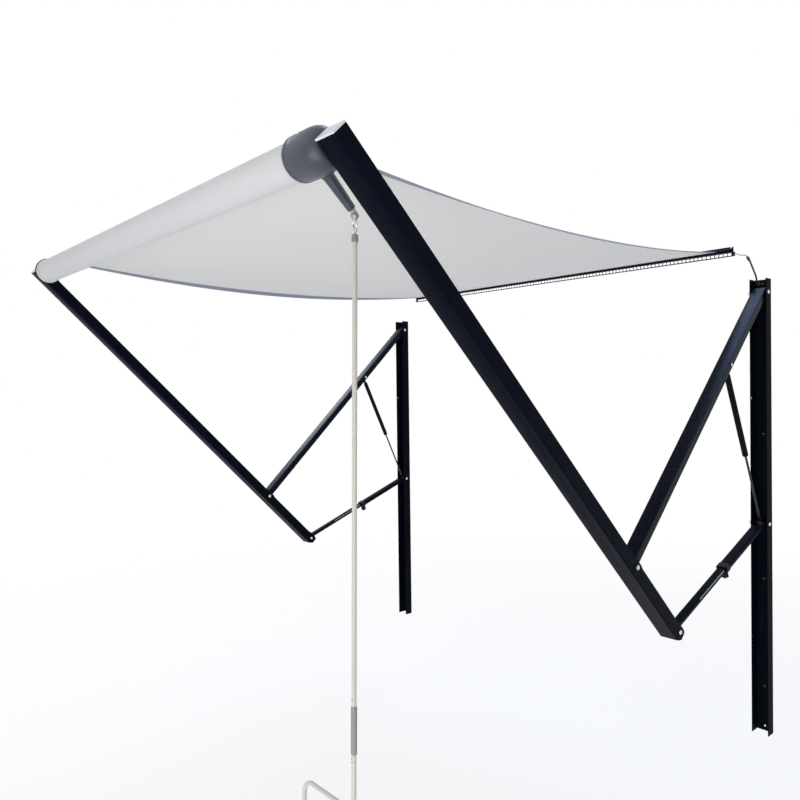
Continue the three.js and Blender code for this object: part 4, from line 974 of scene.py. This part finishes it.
shank = solidRod(coverScrew["shankFrom"], coverScrew["shankTo"], coverScrew["shank"])
addSpun(bm, shank, screwPlace, 24)
made("cover_screw", bm, "boltSteel", "outer_arms", "bolt_steel", "housing_screw")
print("roller made")

# Crank: swivel cup, winding eye, hook, collar, cranked rod and two grips
cup = {"inner": 7.3, "outer": 9.8, "rim": -2.4, "end": -13.5, "stem": 5.0, "bore": 3.3, "boreTop": -9.2}
rimTurn = math.asin(-cup["rim"] / cup["inner"])
cupProfile = []
for share in (0, 0.2, 0.4, 0.6, 0.8, 1.0):
    turn = math.pi / 2 - share * (math.pi / 2 - rimTurn)
    cupProfile.append((-cup["inner"] * math.sin(turn), 0 if share == 0 else cup["inner"] * math.cos(turn)))
cupProfile += [
    (cup["rim"], cup["outer"]), (-cup["inner"], cup["outer"] - 0.8), (-12, cup["stem"] + 0.4),
    (cup["end"], cup["stem"]), (cup["end"], cup["bore"]), (cup["boreTop"], cup["bore"]), (cup["boreTop"], 0),
]
spunPiece("swivel_cup", cupProfile, crankFrame, 56, 0.4, "gearMetal", "swivel", "gear_metal", "crank_yoke")

ringEye = {
    "radius": 7.3, "wire": 2.2, "corners": 16, "steps": 56, "stem": 3.0, "stemTop": -9.5, "stemEnd": -15.2,
    "centre": -23.3,
}
e = ringEye
bm = bmesh.new()
outline = []
for i in range(e["corners"]):
    turn = i * 2 * math.pi / e["corners"]
    outline.append((e["wire"] * math.sin(turn), e["radius"] + e["wire"] * math.cos(turn)))
addPart(bm, revolved(outline, True, e["steps"]), crankFrame @ moved(z=e["centre"]) @ turned("X"))
addSpun(bm, solidRod(e["stemTop"], e["stemEnd"], e["stem"]), crankFrame)
made("ring_eye", bm, "boltSteel", "crank", "bolt_steel", "winding_eye")

hook = {"wire": 2.0, "bow": 4.6, "legEnd": -38, "mouth": -36, "neck": -45, "end": -51.7, "bowZ": -30.6}
h = hook
bow = []
for share in (0, 0.25, 0.5, 0.75, 1):
    turn = share * math.pi
    bow.append((-h["bow"] * math.cos(turn), h["bowZ"] + h["bow"] * math.sin(turn)))
hookPoints = [
    (-h["bow"], h["legEnd"]), *bow, (h["bow"], h["mouth"]), (h["bow"] / 2, (h["mouth"] + h["neck"]) / 2),
    (0, h["neck"]), (0, h["end"]),
]
hookPath = smoothPath([(0, y * mm, z * mm) for y, z in hookPoints], 8)
hookMesh = barMesh("hook", hookPath, h["wire"] * mm)
link("crank_hook_wire", hookMesh, "boltSteel", "crank", ("crank_hook",))

collarProfile = [
    (-45, 2.3), (-45, 5.8), (-46.5, 7.5), (-50, 7.5), (-50.8, 7.0), (-52.2, 7.0), (-53, 7.5), (-60.8, 7.5),
    (-62, 6.6), (-62, 5.8), (-52.2, 5.8), (-52.2, 2.3), (-45, 2.3),
]
collarLabels = ("gripGrey", "crank", "black_plastic", "crank_collar")
spunPiece("rod_collar", collarProfile, crankFrame, 56, 0.4, *collarLabels)

crankRod = {
    "radius": 5.5, "top": -52.5, "bend": -1256, "bendRadius": 34, "bendSteps": 12, "offset": -190,
    "end": -1519,
    "pins": [-1045, -1171, -1179], "pinRadius": 1.55, "pinHalf": 6.05,
}
c = crankRod
turns = [i / c["bendSteps"] * math.pi / 2 for i in range(c["bendSteps"] + 1)]
rodPath = [(0, c["top"])]
for turn in turns:
    rodPath.append((-c["bendRadius"] * (1 - math.cos(turn)), c["bend"] - c["bendRadius"] * math.sin(turn)))
for turn in turns:
    rodPath.append((
        c["offset"] + c["bendRadius"] * (1 - math.sin(turn)),
        c["bend"] - c["bendRadius"] * (2 - math.cos(turn)),
    ))
rodPath.append((c["offset"], c["end"]))
rodMesh = barMesh("rod", [(x * mm, 0, z * mm) for x, z in rodPath], c["radius"] * mm)
link("cranked_rod", rodMesh, "crankPaint", "crank", ("crank_rod",))
bm = bmesh.new()
pin = solidRod(-c["pinHalf"], c["pinHalf"], c["pinRadius"])
for z in c["pins"]:
    addSpun(bm, pin, crankFrame @ moved(z=z) @ turned("X"), 20)
made("rod_cross_pins", bm, "blackScrew", "crank", "gear_metal")

gripShape = {"bore": 5.8, "edge": 1.6, "chamfer": 1.4, "plain": 10, "groove": 0.5}
sleeve = {"low": -1164, "high": -1060, "radius": 6.8, "grooves": 0, "x": 0}
handle = {"low": -1509, "high": -1391, "radius": 13, "grooves": 9, "x": crankRod["offset"]}


def gripPiece(name, grip, *labels):
    s, low, high, radius = gripShape, grip["low"], grip["high"], grip["radius"]
    points = [(low, s["bore"]), (low, radius - s["chamfer"]), (low + s["edge"], radius)]
    for i in range(grip["grooves"]):
        share = (i + 0.5) / grip["grooves"]
        middle = between(low + s["plain"], high - s["plain"], share)
        points += [(middle - s["edge"], radius), (middle, radius - s["groove"]), (middle + s["edge"], radius)]
    points += [(high - s["edge"], radius), (high, radius - s["chamfer"]), (high, s["bore"]), (low, s["bore"])]
    spunPiece(name, points, crankFrame @ moved(grip["x"]), 56, 0.5, *labels)


gripPiece("sleeve_grip", sleeve, "gripGrey", "grip_upper", "grip_grey", "crank_grip_upper")
gripPiece("turning_grip", handle, "blackNylon", "grip_lower", "black_plastic", "crank_grip_lower")
print("crank made")

# Canopy: one sagging sheet with woven bindings folded round both edges; uvWidth is in metres
canopy = {
    "thickness": 0.9, "cadThickness": 2.0, "wallY": -14.5, "wallZ": -3.5, "railX": (-889, 832),
    "rollerX": (-918, 858), "lift": 6.0, "edgeSag": 42.0, "middleSag": 54.0, "rollRadius": 44.3, "pull": 0.55,
    "crease": 0.35, "curl": 22.0, "curlWidth": 66.0, "uvWidth": 1.73,
    "columns": 110, "rows": 150, "sharp": 60,
}
cn = canopy
lift = math.radians(cn["lift"])
touch = (cn["rollRadius"] + cn["cadThickness"] / 2) * mm
touchPoint = rollerAxis + Vector((0, math.sin(lift), math.cos(lift))) * touch


def clothPoint(across, along):
    # along runs from the rail to the roller, across from the left edge to the right one
    x = between(between(*cn["railX"], across), between(*cn["rollerX"], across), along) * mm
    bowed = 4 * across * (1 - across)
    sag = between(cn["edgeSag"], cn["middleSag"], bowed) * 4 * along * (1 - along) * mm
    pull = math.sin(across * 37.0) * math.sin(along * math.pi) ** 2
    crease = math.sin(across * 83.0 + 2.0) * (math.exp(-((1 - along) * 14)) + math.exp(-(along * 18)))
    ripple = cn["pull"] * pull + cn["crease"] * crease * math.sin(math.pi * along)
    ripple *= mm * min(1, 12 * across, 12 * (1 - across))
    inward = min(across, 1 - across) * (cn["railX"][1] - cn["railX"][0]) / cn["curlWidth"]
    curl = cn["curl"] * max(0.0, 1 - inward) ** 2 * math.sin(along * math.pi) * mm
    y = between(cn["wallY"] * mm, touchPoint.y, along)
    z = between(cn["wallZ"] * mm, touchPoint.z, along) - sag + ripple - curl
    return Vector((x, y, z))


def spread(share):
    # columns crowd towards the two edges, where the cloth curls
    return (1 - math.cos(share * math.pi)) / 2


def applied(obj, thickness):
    shell = obj.modifiers.new("cloth", "SOLIDIFY")
    shell.thickness = thickness * mm
    shell.offset = 0
    mesh = bpy.data.meshes.new_from_object(obj.evaluated_get(bpy.context.evaluated_depsgraph_get()))
    obj.modifiers.clear()
    obj.data = mesh
    return obj


flatLength = pathLength([clothPoint(0.5, i / 60) for i in range(61)])
bm = clothGrid(
    cn["columns"], cn["rows"], lambda across, along: (spread(across) * cn["uvWidth"], along * flatLength),
    lambda across, along: clothPoint(spread(across), along),
)
sheetArea = sum(face.calc_area() for face in bm.faces)
sheetMesh = meshOf("canopy_sheet", cleaned(bm, 1e-6))
awningCloth = link(
    "canopy_sheet", sheetMesh, "canopyCloth", "wall_frame", ("canopy",), cn["sharp"],
)
applied(awningCloth, cn["thickness"])

binding = {
    "width": 25.0, "fold": 4, "bulge": 0.8, "thickness": 0.7, "clear": 0.25, "start": 0.004, "end": 0.985,
    "rows": 150, "columns": 14,
}
b = binding
reach = 2 * b["width"] + b["fold"]
clothLift = cn["thickness"] / 2 + b["clear"] + b["thickness"] / 2


def bindingPoint(onRight, walked, run):
    # walked runs over the cloth to its edge, round it and back underneath
    along = between(b["start"], b["end"], run)
    walk = walked * reach
    if walk < b["width"]:
        inward, rise = b["width"] - walk, clothLift
    elif walk > b["width"] + b["fold"]:
        inward, rise = walk - b["width"] - b["fold"], -clothLift
    else:
        turn = (walk - b["width"]) / b["fold"] * math.pi
        inward, rise = -clothLift * math.sin(turn) * b["bulge"], clothLift * math.cos(turn)
    width = between(cn["railX"][1] - cn["railX"][0], cn["rollerX"][1] - cn["rollerX"][0], along)
    across = 1 - inward / width if onRight else inward / width
    onCloth = max(0.0, min(1.0, across))
    point = clothPoint(onCloth, along)
    return point + Vector(((across - onCloth) * width * mm, 0, rise * mm))


bindings = []
for side in sides:
    bm = clothGrid(
        b["columns"], b["rows"], lambda walked, run: (walked * reach * mm, run * flatLength),
        lambda walked, run: bindingPoint(side == "right", walked, run),
    )
    stripMesh = meshOf("edge_binding", cleaned(bm, 1e-6))
    strip = link(
        f"edge_binding_{side}", stripMesh, "bindingCloth", "wall_frame",
        (f"canopy_binding_{side}",), cn["sharp"],
    )
    bindings.append(applied(strip, b["thickness"]))
for piece in (awningCloth, *bindings):
    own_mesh(piece)
print("canopy made")

# Plain pale floor, white surroundings and soft light, in metres
studio = {
    "floorY": -1.0, "floorZ": -2.28, "floorSize": 26.0, "skyStrength": 0.60,
    "fadeFrom": 1.2, "fadeTo": 6.0, "fadeShare": 0.62,
}
white = (1, 1, 1, 1)


def paleFloor():
    surface = newSurface("pale_floor")
    place = surface.objectPlace()
    speck = surface.noise(place, 3.0, 2.0)
    pale = surface.blend(speck * 0.1, (0.9, 0.9, 0.91), (0.86, 0.86, 0.87))
    away = surface.add("VectorMath", {"operation": "LENGTH"}, {0: place}, output=1)
    fading = surface.add("MapRange", {"interpolation_type": "SMOOTHSTEP"}, {
        0: away, 1: studio["fadeFrom"], 2: studio["fadeTo"], 3: studio["fadeShare"], 4: 1.0,
    })
    shader = surface.add("MixShader", None, {
        0: surface.seenDirectly() * fading,
        1: surface.add("BsdfDiffuse", None, {"Color": pale}),
        2: surface.add("Emission", None, {"Color": white, "Strength": 1.0}),
    })
    surface.add("OutputMaterial", None, {"Surface": shader})
    return surface.holder


bm = bmesh.new()
bmesh.ops.create_grid(bm, x_segments=2, y_segments=2, size=studio["floorSize"] / 2)
bm.transform(Matrix.Translation((0, studio["floorY"], studio["floorZ"])))
floorMesh = meshOf("floor", bm)
floorMesh.materials.append(paleFloor())
floorObject = bpy.data.objects.new("floor", floorMesh)
bpy.context.scene.collection.objects.link(floorObject)

world = bpy.data.worlds.new("studio")
bpy.context.scene.world = world
surround = Surface(world)
shader = surround.add("MixShader", None, {
    0: surround.seenDirectly(),
    1: surround.add("Background", None, {"Color": (0.96, 0.98, 1.0, 1), "Strength": studio["skyStrength"]}),
    2: surround.add("Background", None, {"Color": white, "Strength": 1.0}),
})
surround.add("OutputWorld", None, {"Surface": shader})

# name: (place, aim, size, power, colour)
lamps = {
    "overhead": ((-0.1, 0.5, 3.3), (0.3, -0.2, -0.4), 1.9, 85, (0.55, 0.72, 1.0)),
    "front_panel": ((-0.5, -4.8, 2.6), (0, -0.9, -0.6), 4.0, 26, (0.88, 0.94, 1.0)),
    "low_fill": ((1.6, -3.6, -2.0), (0, -0.8, -0.2), 3.0, 75, (1.0, 0.99, 0.97)),
    "glare": ((-4.7, -0.6, 2.1), (-0.4, -0.6, -0.5), 1.7, 90, (0.86, 0.92, 1.0)),
}
for name, (place, aim, size, power, colour) in lamps.items():
    light = bpy.data.lights.new(name, "AREA")
    light.size = size
    light.energy = power
    light.color = colour
    obj = bpy.data.objects.new(name, light)
    bpy.context.scene.collection.objects.link(obj)
    obj.matrix_world = Matrix.Translation(place) @ pointing(Vector(place) - Vector(aim))
bpy.context.scene.view_settings.view_transform = "Standard"
print("studio lit")
